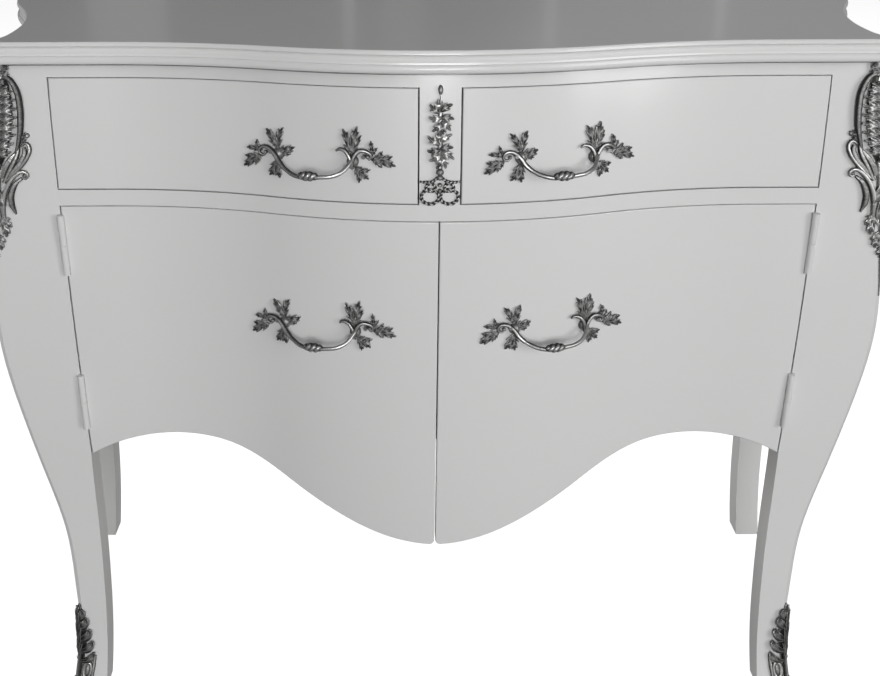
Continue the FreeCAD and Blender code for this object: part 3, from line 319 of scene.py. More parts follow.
def add_rod(casting, points, width, depth=None, groove=0.0, tone=0.0, twists=0, rows=48):
    """A tapering rod along a smooth line.

    point(u, a) = line(u) + across(u) width(u) cos a + out(u) depth(u) sin a (1 - groove(a)),
    where width and depth are read along the line from the numbers given, and the groove is a
    rounded channel along the crown of the rod. Tone darkens it from the flanks up, until at 1 only
    a thin line along the crown is bright. Twists lay it up as a rope of two strands, which follow
    cos(2 a - 2 pi twists u).
    """
    path = smooth_line(points, rows)
    across, out = axes_along(path, OUTWARD)
    share = np.linspace(0.0, 1.0, rows)
    angle = angles_round(ROD_SIDES)
    strand = np.cos(2 * angle - 2 * np.pi * twists * share[:, None]) if twists else np.ones((rows, 1))
    swell = rope_swell(strand)
    wide = along_share(width, share) * swell
    deep = along_share(width if depth is None else depth, share) * swell
    channel = groove * np.exp(-((angle - np.pi / 2) / GROOVE_WIDTH) ** 2)
    side = (wide * np.cos(angle))[..., None] * across[:, None]
    lift = (deep * np.sin(angle) * (1 - channel))[..., None] * out[:, None]
    crown = np.clip(np.sin(angle), 0.0, 1.0)
    tone = along_share(tone, share)
    # At tone 0 the flanks are grey and the crown is broadly bright; at tone 1 they are dark.
    flank = 0.3 + 0.7 * tone - (0.6 + 0.5 * tone) * crown ** (1 + 6 * tone)
    worn = flank + GROOVE_DARK * channel + ROPE_DARK * (1 - strand)
    casting.add_rings(path[:, None] + side + lift, np.clip(worn, 0.0, 1.0))


def add_bead(casting, centre, radii):
    """An ellipsoid: centre + radii * (-cos b, -sin b cos a, sin b sin a), brightest at its front."""
    b = np.linspace(BEAD_POLE, np.pi - BEAD_POLE, BEAD_ROWS)[:, None]
    a = angles_round(ROD_SIDES)
    shape = np.stack(np.broadcast_arrays(-np.cos(b), -np.sin(b) * np.cos(a), np.sin(b) * np.sin(a)), axis=-1)
    patina = np.clip(0.8 - 0.5 * shape[..., 2], 0.0, 1.0)
    casting.add_rings(np.asarray(centre, float) + shape * np.asarray(radii, float), patina)


LEAF_ROWS = 40
LEAF_SIDES = 24
# Outline, as shares of the leaf's width and length.
LEAF_BELLY = 0.75
LEAF_ROUND = 0.7
LEAF_STALK = 0.35
LEAF_LEAST = 0.03
LOBE_NECK = 0.38
LOBE_SWEEP = 0.12
# Relief, as shares of the leaf's thickness.
MIDRIB_HEIGHT = 0.55
RIM_HEIGHT = 0.3
VEIN_HEIGHT = 0.45
# The arch's start, as a share of half a wave, and the sole under it: a share of the thickness and more.
ARCH_START = 0.12
SOLE_SHARE = 0.45
SOLE_MORE = 0.4
# Where the midrib and the veins run, as shares of the half width and of a lobe.
MIDRIB_WIDTH = 0.16
VEIN_START = 0.4
VEIN_SLANT = 0.45
VEIN_STRENGTH = 2.6
# Patina of the leaf's ground, and how far its high places are rubbed.
LEAF_TONE = 0.7
MIDRIB_RUB = 0.3
RIM_RUB = 0.65
VEIN_RUB = 0.3


def add_leaf(casting, base, tip, width, bend=0.0, height=1.0, lobes=2, tone=0.0):
    """A lobed leaf with a raised midrib, a vein up each lobe and a thin rubbed rim.

    Its midline is a parabola from base to tip, bowed sideways by bend times its length. Its half
    width is a sine that is fullest below the middle, cut into lobes that lean towards the tip:
    with one lobe or more it is ragged, with half a lobe it is a scallop, broad at its end, and
    with none it is a plain plate. Its upper side is height + arch(u) + midrib(v) + rim(v) +
    vein(u, v), where u runs along it from 0 to 1 and v across it from -1 to 1.
    """
    cast = bpy.context.scene.commode_castings
    thick = cast.leaf_thick / MM
    lift = cast.leaf_lift / MM
    base = np.asarray(base, float)
    along = np.asarray(tip, float) - base
    aside = np.array([-along[1], along[0]])
    u = np.linspace(0.0, 1.0, LEAF_ROWS)[:, None]
    midline = base + along * u + aside * (4 * bend * u * (1 - u))
    path = np.concatenate([midline, np.zeros_like(u)], axis=1)
    across, _ = axes_along(path, OUTWARD)
    angle = angles_round(LEAF_SIDES)
    v = np.cos(angle)
    upper = np.sin(angle) > -TINY
    place = ((lobes + 0.5) * u) % 1.0
    full = np.maximum(np.sin(np.pi * u ** LEAF_BELLY), 0.0) ** LEAF_ROUND
    lobed = LOBE_NECK + (1 - LOBE_NECK) * place
    half = 0.5 * width * (np.maximum(full, LEAF_STALK * (1 - u)) * lobed + LEAF_LEAST)
    sweep = LOBE_SWEEP * np.linalg.norm(along) * place * full * v ** 2
    arch = lift * np.sin(np.pi * (ARCH_START + (1 - 2 * ARCH_START) * u))
    midrib = np.exp(-(v / MIDRIB_WIDTH) ** 2) * (1 - u ** 3)
    rim = np.abs(v) ** 3
    vein = np.cos(2 * np.pi * (place - VEIN_START - VEIN_SLANT * np.abs(v)))
    vein = vein * VEIN_STRENGTH * np.abs(v) * (1 - v ** 2)
    top = height + arch + thick * (MIDRIB_HEIGHT * midrib + RIM_HEIGHT * rim + VEIN_HEIGHT * vein)
    out = np.where(upper, top, height + arch - SOLE_SHARE * thick - SOLE_MORE)
    rings = path[:, None] + (half * v)[..., None] * across[:, None]
    rings[..., :2] += sweep[..., None] * unit(along)
    rings[..., 2] += out
    worn = LEAF_TONE + tone - MIDRIB_RUB * midrib - RIM_RUB * rim ** 5 - VEIN_RUB * vein
    casting.add_rings(rings, np.where(upper, np.clip(worn, 0.0, 1.0), 1.0))


SPRAY_BEND = 0.12
SPRAY_STEP = 0.4
LEAST_LEAF_WIDTH = 5.0


def add_spray(casting, base, tips, width, height=1.0, lobes=2, tone=0.0):
    """Several leaves from one base, each as wide as its length times width, fanned from the middle."""
    base = np.asarray(base, float)
    middle = unit(np.mean(np.asarray(tips, float) - base, axis=0))
    for order, tip in enumerate(tips):
        reach = np.asarray(tip, float) - base
        turn = middle[0] * reach[1] - middle[1] * reach[0]
        length = np.linalg.norm(reach)
        bend = -SPRAY_BEND * np.sign(turn) * min(abs(turn) / length * 1.5, 1.0)
        add_leaf(casting, base, tip, max(width * length, LEAST_LEAF_WIDTH), bend,
                 height + SPRAY_STEP * (order % 3), lobes, tone)


def add_ring(casting, centre, radii, wire, twists=0):
    """An oval of wire, or with twists of rope whose strands follow cos(2 b - twists a)."""
    a = angles_round(RING_ROWS).T
    b = angles_round(ROD_SIDES)
    strand = np.cos(2 * b - twists * a) if twists else np.ones_like(a)
    swell = wire * rope_swell(strand)
    rings = np.stack([centre[0] + (radii[0] + swell * np.cos(b)) * np.cos(a),
                      centre[1] - (radii[1] + swell * np.cos(b)) * np.sin(a),
                      centre[2] + swell * np.sin(b)], axis=-1)
    worn = 0.75 - 0.7 * np.maximum(np.sin(b), 0.0) ** 2 + ROPE_DARK * (1 - strand)
    casting.add_loop(rings, np.clip(worn, 0.0, 1.0))


# Seats: how drawn (across, up, out) points come to lie on the chest.

def plan_depth(x):
    """How far the front lies behind its middle at x: a round middle arc, then a hollow flank arc."""
    radius = (FRONT_REACH ** 2 + FRONT_RISE ** 2) / (4 * FRONT_RISE)
    x = np.minimum(np.abs(x), FRONT_REACH)
    middle = radius - np.sqrt(radius ** 2 - np.minimum(x, FRONT_REACH / 2) ** 2)
    flank = FRONT_RISE - radius + np.sqrt(radius ** 2 - (FRONT_REACH - x) ** 2)
    return np.where(x < FRONT_REACH / 2, middle, flank)


def front_y(x, z):
    """The swelling front's y: its plan line turned about the swell axis."""
    reach = SWELL_RADIUS + FRONT_RISE - plan_depth(x)
    return POST_FRONT + SWELL_RADIUS - np.sqrt(reach ** 2 - (z - SWELL_HEIGHT) ** 2)


SLOPE_STEP = 0.0005


def front_seat(place_x, place_z):
    """Lay a drawing on the front round one place: out follows the front's own normal."""
    sink = bpy.context.scene.commode_castings.seat_sink

    def seat(points):
        across, up, out = points.T
        x = place_x + across
        z = place_z + up
        slope_x = (front_y(x + SLOPE_STEP, z) - front_y(x - SLOPE_STEP, z)) / (2 * SLOPE_STEP)
        slope_z = (front_y(x, z + SLOPE_STEP) - front_y(x, z - SLOPE_STEP)) / (2 * SLOPE_STEP)
        normal = unit(np.stack([slope_x, np.full_like(x, -1.0), slope_z], axis=-1))
        return np.stack([x, front_y(x, z), z], axis=-1) + normal * (out - sink)[:, None]

    return seat


POST_LEVELS = 90
POST_PROBE_X = 0.425
PROBE_START = 0.1
PROBE_INSET = 0.0005
FOLD_ROUND = 0.003
WRAP_REACH = 0.06
WRAP_STEPS = 601


def post_seat():
    """Wrap a drawing round the right post's canted corner, with up as the height over the floor.

    The post's front and outer side are felt at many levels. The wrap turns through 45 degrees at
    each edge of the cant, eased over a short round.
    """
    sink = bpy.context.scene.commode_castings.seat_sink
    post = frame["nodes"]["front_post_right"]
    tree = BVHTree.FromPolygons([v.co for v in post.data.vertices],
                                [p.vertices for p in post.data.polygons])
    low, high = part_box("front_post_right")
    levels = np.linspace(low.z + PROBE_INSET, high.z - PROBE_INSET, POST_LEVELS)
    fronts = []
    sides = []
    for z in levels:
        front, _, _, _ = tree.ray_cast(Vector((POST_PROBE_X, low.y - PROBE_START, z)), Vector((0, 1, 0)))
        if front is None:
            raise RuntimeError(f"The right post has no front at height {z:.4f} m")
        side_start = Vector((high.x + PROBE_START, front.y + CANT_WIDTH + PROBE_INSET, z))
        side, _, _, _ = tree.ray_cast(side_start, Vector((-1, 0, 0)))
        if side is None:
            raise RuntimeError(f"The right post has no outer side at height {z:.4f} m")
        fronts.append(front.y)
        sides.append(side.x)
    half_cant = CANT_WIDTH / math.sqrt(2)
    places = np.linspace(-WRAP_REACH, WRAP_REACH, WRAP_STEPS)

    def eased(edge):
        """The share of a turn that is done at each place round one edge of the cant."""
        share = np.clip((places - edge) / (2 * FOLD_ROUND) + 0.5, 0.0, 1.0)
        return share * share * (3 - 2 * share)

    side_turn = math.pi / 4 + math.atan(SIDE_TAPER)
    turn = math.pi / 4 * eased(-half_cant) + side_turn * eased(half_cant)
    step = places[1] - places[0]
    fold_x = np.cumsum(np.cos(turn)) * step
    fold_y = np.cumsum(np.sin(turn)) * step
    fold_x -= np.interp(0.0, places, fold_x)
    fold_y -= np.interp(0.0, places, fold_y)

    def seat(points):
        across, up, out = points.T
        angle = np.interp(across, places, turn)
        x = np.interp(up, levels, sides) - CANT_WIDTH / 2 + np.interp(across, places, fold_x)
        y = np.interp(up, levels, fronts) + CANT_WIDTH / 2 + np.interp(across, places, fold_y)
        out = out - sink
        return np.stack([x + out * np.sin(angle), y - out * np.cos(angle), up], axis=-1)

    return seat


# Drawings of the castings, in millimetres.

BOW_LINE = (
    # across, up, out: the bow between its two feet
    (-38, -9, 8.5), (-34, -13, 11), (-27, -17, 15), (-20, -19.5, 19), (-12, -20.5, 22), (-3, -20, 24),
    (9, -19, 23.5), (18, -18, 22), (26, -15, 19), (31, -10.5, 15), (34, -6, 11), (36, -4, 8),
)
BOW_WIDTHS = np.array((0.85, 1.0, 1.05, 1.05, 1.0, 1.0, 0.95, 0.85))
BOW_DEPTH = 1.1
BOW_GROOVE = 0.15
# Patina along the bow from left to right, lightened towards the right by a painted reflection of the front.
BOW_PATINA_AND_SHEEN = (0.9, 0.8, 0.7, 0.5, 0.3, 0.2, 0.2)
LEFT_ARM = (
    (-53, -2, 5), (-55, -4.5, 5), (-59, -3, 5), (-59, 1, 5.5), (-55, 4, 6), (-49, 3, 6.5), (-43, -2, 7.5),
    (-38, -9, 9), (-32, -14.5, 12),
)
RIGHT_ARM = (
    (35, -13, 6), (35.5, -6, 7), (38, 1, 7), (43, 5.5, 6.5), (50, 4.5, 6), (54, 0.5, 5), (52, -3, 5),
    (50, -1, 5),
)
RIGHT_CURL = ((34, -12, 6), (33, -3, 6.5), (29, 4, 6), (23, 6.5, 5.5), (19, 4, 4.5))
PULL_ARMS = (
    # path, half widths along it as shares of the bow's radius, tone, rows
    (LEFT_ARM, (0.5, 0.8, 1.0, 1.1, 1.2, 1.1), 0.9, 80),
    (RIGHT_ARM, (0.8, 1.0, 1.0, 1.0, 0.8, 0.5), 0.8, 70),
    (RIGHT_CURL, (0.8, 1.0, 1.0, 0.9, 0.4), 0.8, 50),
)
PULL_BEADS = (
    # centre, radii: the eyes of the two scrolls, then the boss of each foot
    ((-53, -1.5, 5), (2.0, 2.0, 2.4)), ((50.5, -0.5, 5), (2.0, 2.0, 2.4)),
    ((-41, -3, 1.5), (6, 6.5, 5.0)), ((35, -6, 1.5), (6, 6.5, 5.0)),
)
PULL_SPRAYS = (
    # base, tips, width of a leaf as a share of its length
    ((-58, -6), ((-78, -18), (-76, -7), (-64, -15)), 0.5),
    ((-58, -1), ((-74, 1), (-63, 10)), 0.42),
    ((-41, 2), ((-53, 22), (-35, 24), (-48, 12)), 0.42),
    ((-42, -1), ((-24, 5), (-28, -3)), 0.6),
    ((-41, -8), ((-51, -26), (-40, -28)), 0.52),
    ((34, -2), ((25, 26), (40, 29), (44, 20), (31, 14)), 0.38),
    ((54, 0), ((53, 15), (60, 8)), 0.42),
    ((54, -4), ((78, -10), (65, 5), (75, 0), (64, -12)), 0.42),
    ((37, -11), ((41, -28), (51, -24), (53, -14)), 0.42),
)


def draw_pull():
    """A rigid bow between two leafy feet, the same casting for every front."""
    casting = Casting()
    radius = bpy.context.scene.commode_castings.bow_radius / MM
    bow_widths = radius * BOW_WIDTHS
    add_rod(casting, BOW_LINE, bow_widths, bow_widths * BOW_DEPTH, BOW_GROOVE, BOW_PATINA_AND_SHEEN, rows=90)
    for line, widths, tone, rows in PULL_ARMS:
        add_rod(casting, line, radius * np.array(widths), tone=tone, rows=rows)
    for centre, radii in PULL_BEADS:
        add_bead(casting, centre, radii)
    for base, tips, width in PULL_SPRAYS:
        add_spray(casting, base, tips, width)
    add_shell(casting, centre=(-4, -18.5, 24), half_length=10.5, radius=5.2)
    return casting


SHELL_ROWS = 72
SHELL_SIDES = 28
SHELL_END = 0.985
SHELL_RIB = 0.2


def add_shell(casting, centre, half_length, radius):
    """The swelling in the middle of the bow: an ellipsoid with slanting ribs across its length.

    reach(u, a) = radius sqrt(1 - u^2) (0.8 + 0.2 rib), rib = |cos(2 pi u + 1.5 cos a)|.
    """
    u = np.linspace(-SHELL_END, SHELL_END, SHELL_ROWS)[:, None]
    a = angles_round(SHELL_SIDES)
    rib = np.abs(np.cos(2 * np.pi * u + 1.5 * np.cos(a)))
    reach = radius * np.sqrt(1 - u ** 2) * (1 - SHELL_RIB + SHELL_RIB * rib)
    rings = np.stack([centre[0] + half_length * u + 0 * a, centre[1] - reach * np.cos(a),
                      centre[2] + reach * np.sin(a)], axis=-1)
    worn = 0.7 - 0.6 * rib + 0.8 * np.cos(a) ** 4 + 0.5 * u ** 8
    casting.add_rings(rings, np.clip(worn, 0.0, 1.0))


DROP_MIDDLE = 0.725
DROP_LEAVES = (
    # base, tip, height, tone: two clusters of leaves that turn every way off the stem
    ((0, 30), (-10.5, 39), 1.4, -0.15), ((0, 31), (12, 38.5), 2.4, -0.05), ((0, 33), (-2, 44), 2.0, -0.45),
    ((2, 26), (-11.5, 26), 2.2, -0.45), ((-1, 25), (13.5, 24), 2.0, -0.15), ((1, 22), (-8.5, 12), 1.6, -0.25),
    ((0, 22), (10, 12.5), 2.2, -0.4), ((0, 20), (1, 8), 1.2, -0.15),
    ((1, -1), (-12.5, 8), 1.8, -0.25), ((-1, 0), (12, 9), 1.4, -0.45), ((0, 2), (0, 13), 1.2, -0.25),
    ((1, -5), (-13, -7), 1.6, -0.05), ((-1, -6), (13, -4), 2.2, -0.1), ((1, -9), (-11, -17), 2.2, -0.45),
    ((-1, -8), (14, -16), 1.6, -0.35), ((1, -12), (-4, -25), 1.8, -0.15), ((0, -12), (5.5, -25), 2.4, -0.45),
)
DROP_LEAF_WIDTH = 9.0
DROP_LEAF_BEND = 0.1
DROP_BEADS = (
    # place up the stem, radius
    (-28.5, 3.8), (-34, 3.2), (-41.5, 2.4), (-47, 2.0),
)
RIBBON_LINE = ((0, -32.5, 3), (6.5, -37.5, 3), (12.6, -39, 2.6), (20, -38.5, 2))


def draw_drop():
    """A bud and two clusters of leaves over a roped ribbon bow, its small loops and two roped rings."""
    casting = Casting()
    add_bead(casting, (0, 52.5, 2.6), (2.4, 4.8, 3))
    add_rod(casting, ((0, 49, 1.5), (0.6, 44, 2.2), (0, 40, 2)), (1.2, 1, 1.6), (1.6, 1.4, 1.8), rows=20)
    add_rod(casting, ((0, 42, 1), (0, 0, 1), (0, -36, 1)), (2, 3, 2), (1.4, 1.6, 1.4), tone=0.6, rows=40)
    for base, tip, height, tone in DROP_LEAVES:
        add_leaf(casting, base, tip, DROP_LEAF_WIDTH, DROP_LEAF_BEND, height, lobes=1, tone=tone)
    for up, size in DROP_BEADS:
        add_bead(casting, (0, up, 3.2), (size, 0.9 * size, 3.6))
    for side in (-1, 1):
        ribbon = [(side * x, y, out) for x, y, out in RIBBON_LINE]
        add_rod(casting, ribbon, (1.7, 1.9, 1.9, 1.2), (2, 2.2, 2.2, 1.5), tone=0.5, twists=6, rows=96)
        add_ring(casting, (side * 9.2, -44.4, 2.2), radii=(4.6, 4.0), wire=1.8, twists=6)
        add_ring(casting, (side * 9.6, -54.0, 1.9), radii=(8.9, 7.4), wire=2.0, twists=11)
    return casting


CORNER_LEAVES = (697, 706, 715, 724, 733, 742, 751, 760)
CORNER_REACH = 17.5
CORNER_HEAD = ((-9, 783), (9, 783), (-8, 792), (8, 792), (0, 795))
CORNER_RODS = (
    # path of (across, height over the floor, out), half widths along it, groove, tone
    (((-1, 779, 3.4), (-5, 780.5, 3.8), (-11, 776, 4.2), (-17.3, 764, 4.6), (-20.5, 748, 4.8),
      (-21.5, 730, 4.8), (-20.5, 716, 4.4), (-18, 703, 3.6)),
     (2, 2.8, 3.2, 3.3, 3.3, 3.2, 2.6, 1.6), 0.3, 1.0),
    (((-17, 702, 2.2), (-13, 697, 3), (-8, 688, 3.4), (-5, 676, 3.2)), (1.6, 3.2, 3, 1.8), 0.35, 0.5),
    (((-22, 709, 2), (-27, 712.5, 2.6), (-31, 709, 3), (-31.5, 703, 3.2), (-28, 694.5, 3.4), (-21, 685, 3.4),
      (-9.5, 673, 3.2)), (1.4, 1.8, 2.2, 2.4, 2.4, 2.2, 1.8), 0.0, 0.7),
    (((-25, 708, 2.2), (-26.5, 702, 2.6), (-23.5, 693.5, 2.8), (-17, 684, 3), (-8, 673, 3)),
     (2, 3, 3.4, 3.2, 2.2), 0.3, 0.7),
    (((-20, 709, 3), (-18.5, 699, 3.4), (-14, 688, 3.6), (-7, 671, 3.4)), (2, 2.6, 2.6, 2), 0.2, 0.7),
    (((-27, 676.5, 2.6), (-29.5, 675, 2.8), (-31.5, 678, 3), (-28, 682, 3.4), (-22, 681.5, 3.8),
      (-14, 673.5, 4), (-8.5, 660, 4), (-7.5, 644, 3.6), (-10, 624, 2.8)),
     (1.2, 1.8, 2.4, 2.8, 2.8, 2.8, 2.6, 2.2, 1.6), 0.2, 0.4),
    (((-25, 675, 2), (-18.5, 669, 2.6), (-15, 658, 2.8), (-16, 648, 2.6), (-21.5, 636, 1.8)),
     (1.6, 3.2, 3.6, 3, 0.8), 0.3, 0.8),
)
CORNER_ROD_RISE = 0.6
CORNER_TAIL = ((0, 690, 3), (0, 640, 3.2), (0, 590, 2.2), (0, 539, 1.2))


def draw_corner():
    """The corner mount: a leafy heart framed by paired scrolls, ears, smaller scrolls and a long tail.

    One half is drawn and turned over the middle of the cant for the other.
    """
    casting = Casting()
    add_bead(casting, (0, 784, 3), (4.4, 4.4, 4.4))
    add_spray(casting, (0, 780), CORNER_HEAD, width=0.7, height=2.6, tone=-0.1)
    add_leaf(casting, (0, 688), (0, 784), width=46, height=0.2, lobes=0, tone=0.3)
    for order, height in enumerate(CORNER_LEAVES):
        odd = order % 2
        reach = CORNER_REACH - 0.4 * abs(order - 3.5) ** 2
        tips = ((-reach, height + 6), (reach, height + 10), (-7, height + 12), (7, height + 8))
        add_spray(casting, (0, height), tips, 0.62, 2.6 + 0.8 * odd, lobes=1, tone=-0.12 - 0.1 * odd)
    add_rod(casting, ((0, 690, 4), (0, 730, 6), (0, 772, 4)), (1.8, 2.6, 2), tone=0.3, twists=14, rows=150)
    for side in (-1, 1):
        for line, widths, groove, tone in CORNER_RODS:
            points = [(-side * x, z, out) for x, z, out in line]
            add_rod(casting, points, widths, np.array(widths) + CORNER_ROD_RISE, groove, tone, rows=90)
        add_bead(casting, (side * 28, 720, 1.8), (2.6, 2.8, 2.4))
        add_spray(casting, (side * 20, 712), ((side * 28, 716), (side * 26, 724)), width=0.5, height=1.4)
        add_bead(casting, (side * 28, 678, 2.8), (2.2, 2.2, 2.6))
        tips = ((side * 18, 622), (side * 16, 631), (side * 13, 611))
        add_spray(casting, (side * 5, 634), tips, width=0.5, height=1.8, tone=-0.2)
        tips = ((side * 12, 605), (side * 8, 596))
        add_spray(casting, (side * 3, 614), tips, width=0.55, height=1.4, tone=-0.2)
    add_spray(casting, (0, 668), ((-7, 640), (7, 640), (0, 622)), width=0.42, height=3)
    add_spray(casting, (0, 600), ((-6, 588), (6, 588), (0, 582)), width=0.6, height=1.4)
    add_rod(casting, CORNER_TAIL, (3, 2.8, 2, 1.6, 0.8), tone=0.3, rows=60)
    return casting


FOOT_LOBES = (
    # base, tip, width, height: the scallops of one flank, from the top down
    ((1, 94), (4, 112), 8, 3.0), ((1, 82), (7.5, 100), 12, 3.6), ((1, 66), (11, 83), 14, 4.0),
    ((1, 50), (14, 66), 14, 4.0), ((2, 37), (17, 49), 12, 3.2),
)
FOOT_BEND = 0.16


def draw_foot():
    """The foot mount: round scallops up each flank, over an oval boss and a plinth at the floor."""
    casting = Casting()
    add_leaf(casting, (0, 26), (0, 118), width=27, lobes=0, tone=0.12)
    add_leaf(casting, (0, 30), (0, 116), width=9, height=4.0, lobes=3, tone=0.2)
    for side in (-1, 1):
        for base, tip, width, height in FOOT_LOBES:
            base = (side * base[0], base[1])
            tip = (side * tip[0], tip[1])
            add_leaf(casting, base, tip, width, -FOOT_BEND * side, height, lobes=0.5, tone=0.1)
        add_ring(casting, (side * 10, 25, 2.6), radii=(4.6, 10), wire=2.2)
        add_bead(casting, (side * 10, 25, 1.8), (3.4, 8.4, 2.4))
        plinth = ((side * 19, 8, 1.6), (side * 10, 8, 2.4), (0, 9, 3))
        add_rod(casting, plinth, (2.4, 3.4, 3.6), tone=0.7, rows=30)
        outer_edge = ((side * 18, 44, 1.4), (side * 17.5, 28, 2), (side * 17, 10, 2))
        add_rod(casting, outer_edge, (1.8, 2.4, 2), tone=0.7, rows=30)
    add_rod(casting, ((0, 6, 3), (0, 40, 4.4), (0, 112, 2.4)), (3.4, 2.4, 1), tone=0.8, rows=60)
    return casting


# Materials.

def new_material(name):
    """A fresh node material; returns it with its node tree and shader."""
    material = bpy.data.materials.new(name)
    material.use_nodes = True
    shader = material.node_tree.nodes["Principled BSDF"]
    return material, material.node_tree, shader


def add_node(tree, kind, **inputs):
    """Add a node and set its sockets by name, with blanks in a socket's name written as underscores."""
    node = tree.nodes.new(kind)
    for name, value in inputs.items():
        node.inputs[name.replace("_", " ")].default_value = value
    return node


def add_noise(tree, scale, detail, roughness=0.5, stretch=(1.0, 1.0, 1.0)):
    """Noise on the piece's own coordinates, stretched along chosen axes."""
    place = tree.nodes.new("ShaderNodeTexCoord")
    mapping = add_node(tree, "ShaderNodeMapping", Scale=stretch)
    noise = add_node(tree, "ShaderNodeTexNoise", Scale=scale, Detail=detail, Roughness=roughness)
    tree.links.new(place.outputs["Object"], mapping.inputs["Vector"])
    tree.links.new(mapping.outputs["Vector"], noise.inputs["Vector"])
    return noise.outputs["Fac"]


def add_ramp(tree, factor, stops):
    """A colour ramp with the given places and colours."""
    ramp = tree.nodes.new("ShaderNodeValToRGB")
    bar = ramp.color_ramp
    while len(bar.elements) < len(stops):
        bar.elements.new(0.5)
    for element, (place, colour) in zip(bar.elements, stops):
        element.position = place
        element.color = (*colour, 1.0)
    tree.links.new(factor, ramp.inputs["Fac"])
    return ramp.outputs["Color"]


def add_range(tree, factor, low, high):
    """Carry a 0 to 1 factor over to another range."""
    spread = add_node(tree, "ShaderNodeMapRange", To_Min=low, To_Max=high)
    tree.links.new(factor, spread.inputs["Value"])
    return spread.outputs["Result"]


def add_bump(tree, shader, height, strength, distance):
    """Bend the shader's normal by a height, as deep as the distance in metres."""
    bump = add_node(tree, "ShaderNodeBump", Strength=strength, Distance=distance)
    tree.links.new(height, bump.inputs["Height"])
    tree.links.new(bump.outputs["Normal"], shader.inputs["Normal"])


def add_product(tree, factor, first, second):
    """Multiply one colour by another, as far as the factor says."""
    mix = tree.nodes.new("ShaderNodeMix")
    mix.data_type = "RGBA"
    mix.blend_type = "MULTIPLY"
    sockets = [socket for socket in mix.inputs if socket.enabled]
    for source, socket in zip((factor, first, second), sockets):
        tree.links.new(source, socket)
    result, = (socket for socket in mix.outputs if socket.enabled)
    return result


def add_math(tree, operation, source, *values):
    """A Math node on one source; the further values stand on its other sockets."""
    node = tree.nodes.new("ShaderNodeMath")
    node.operation = operation
    tree.links.new(source, node.inputs[0])
    for number, value in enumerate(values, start=1):
        node.inputs[number].default_value = value
    return node


def shade(colour, amount):
    """A colour made darker or lighter by one factor."""
    return tuple(channel * amount for channel in colour)


# The band of painted shade under the slab, down from the joint between the carcass and the slab, and how much
# it takes off the lacquer.
JOINT_TOP = 0.798
JOINT_LOW = 0.7913
JOINT_SHADE_DARK = 0.22
JOINT_SHADE_PALE = 0.33

GLOSS_SPREAD = 0.05
RIPPLE_DEPTH = 0.002
COAT_WEIGHT = 0.35
COAT_ROUGHNESS = 0.12


def add_joint_shadow_band(tree):
    """How far a place lies in the band of painted shadow under the slab: 1 in it, 0 elsewhere."""
    place = tree.nodes.new("ShaderNodeTexCoord")
    parts = tree.nodes.new("ShaderNodeSeparateXYZ")
    tree.links.new(place.outputs["Object"], parts.inputs["Vector"])
    middle = (JOINT_TOP + JOINT_LOW) / 2
    half = (JOINT_TOP - JOINT_LOW) / 2
    return add_math(tree, "COMPARE", parts.outputs["Z"], middle, half).outputs["Value"]


def lacquer_material(name, colour, roughness, ripple):
    """White gloss lacquer under a clear coat.

    Its tone and gloss change slowly, a fine ripple bends it, and a mottled painted shadow darkens a thin band
    under the slab.
    """
    material, tree, shader = new_material(name)
    tone_stops = ((0.1, shade(colour, 0.97)), (0.9, colour))
    tone = add_ramp(tree, add_noise(tree, scale=2.0, detail=2.0), tone_stops)
    # Painted shadow: a thin band under the slab, darkened by a mottled ramp.
    joint_shadow_stops = ((0.3, (JOINT_SHADE_DARK,) * 3), (0.7, (JOINT_SHADE_PALE,) * 3))
    joint_shadow = add_ramp(tree, add_noise(tree, scale=60.0, detail=3.0), joint_shadow_stops)
    tree.links.new(add_product(tree, add_joint_shadow_band(tree), tone, joint_shadow), shader.inputs["Base Color"])
    gloss = add_noise(tree, scale=9.0, detail=3.0)
    gloss = add_range(tree, gloss, roughness - GLOSS_SPREAD, roughness + GLOSS_SPREAD)
    tree.links.new(gloss, shader.inputs["Roughness"])
    add_bump(tree, shader, add_noise(tree, scale=70.0, detail=2.0), ripple, RIPPLE_DEPTH)
    shader.inputs["Coat Weight"].default_value = COAT_WEIGHT
    shader.inputs["Coat Roughness"].default_value = COAT_ROUGHNESS
    return material


SPECKLE = 0.8
SILVER_MIDDLE = 0.36


def silver_material(name, bright, dark):
    """Cast metal, silvered, darkened in its hollows and rubbed bright on its high places.

    The patina of each point, speckled by a fine noise, chooses its colour, gloss and metal shine.
    """
    material, tree, shader = new_material(name)
    patina = tree.nodes.new("ShaderNodeAttribute")
    patina.attribute_name = "patina"
    speckle = add_noise(tree, scale=480.0, detail=4.0, roughness=0.6)
    lowered = add_math(tree, "SUBTRACT", patina.outputs["Fac"], SPECKLE / 2)
    mixed = add_math(tree, "MULTIPLY_ADD", speckle, SPECKLE)
    mixed.use_clamp = True
    tree.links.new(lowered.outputs["Value"], mixed.inputs[2])
    worn = mixed.outputs["Value"]
    middle = tuple(SILVER_MIDDLE * b + (1 - SILVER_MIDDLE) * d for b, d in zip(bright, dark))
    stops = ((0.12, bright), (0.46, middle), (0.86, dark))
    tree.links.new(add_ramp(tree, worn, stops), shader.inputs["Base Color"])
    tree.links.new(add_range(tree, worn, 0.34, 0.62), shader.inputs["Roughness"])
    tree.links.new(add_range(tree, worn, 0.95, 0.2), shader.inputs["Metallic"])
    shader.inputs["Specular IOR Level"].default_value = 0.2
    grit = add_noise(tree, scale=900.0, detail=2.0)
    add_bump(tree, shader, grit, strength=0.12, distance=0.0006)
    return material


GRAIN_STRETCH = {"X": (0.035, 1.0, 1.0), "Y": (1.0, 0.035, 1.0), "Z": (1.0, 1.0, 0.035)}


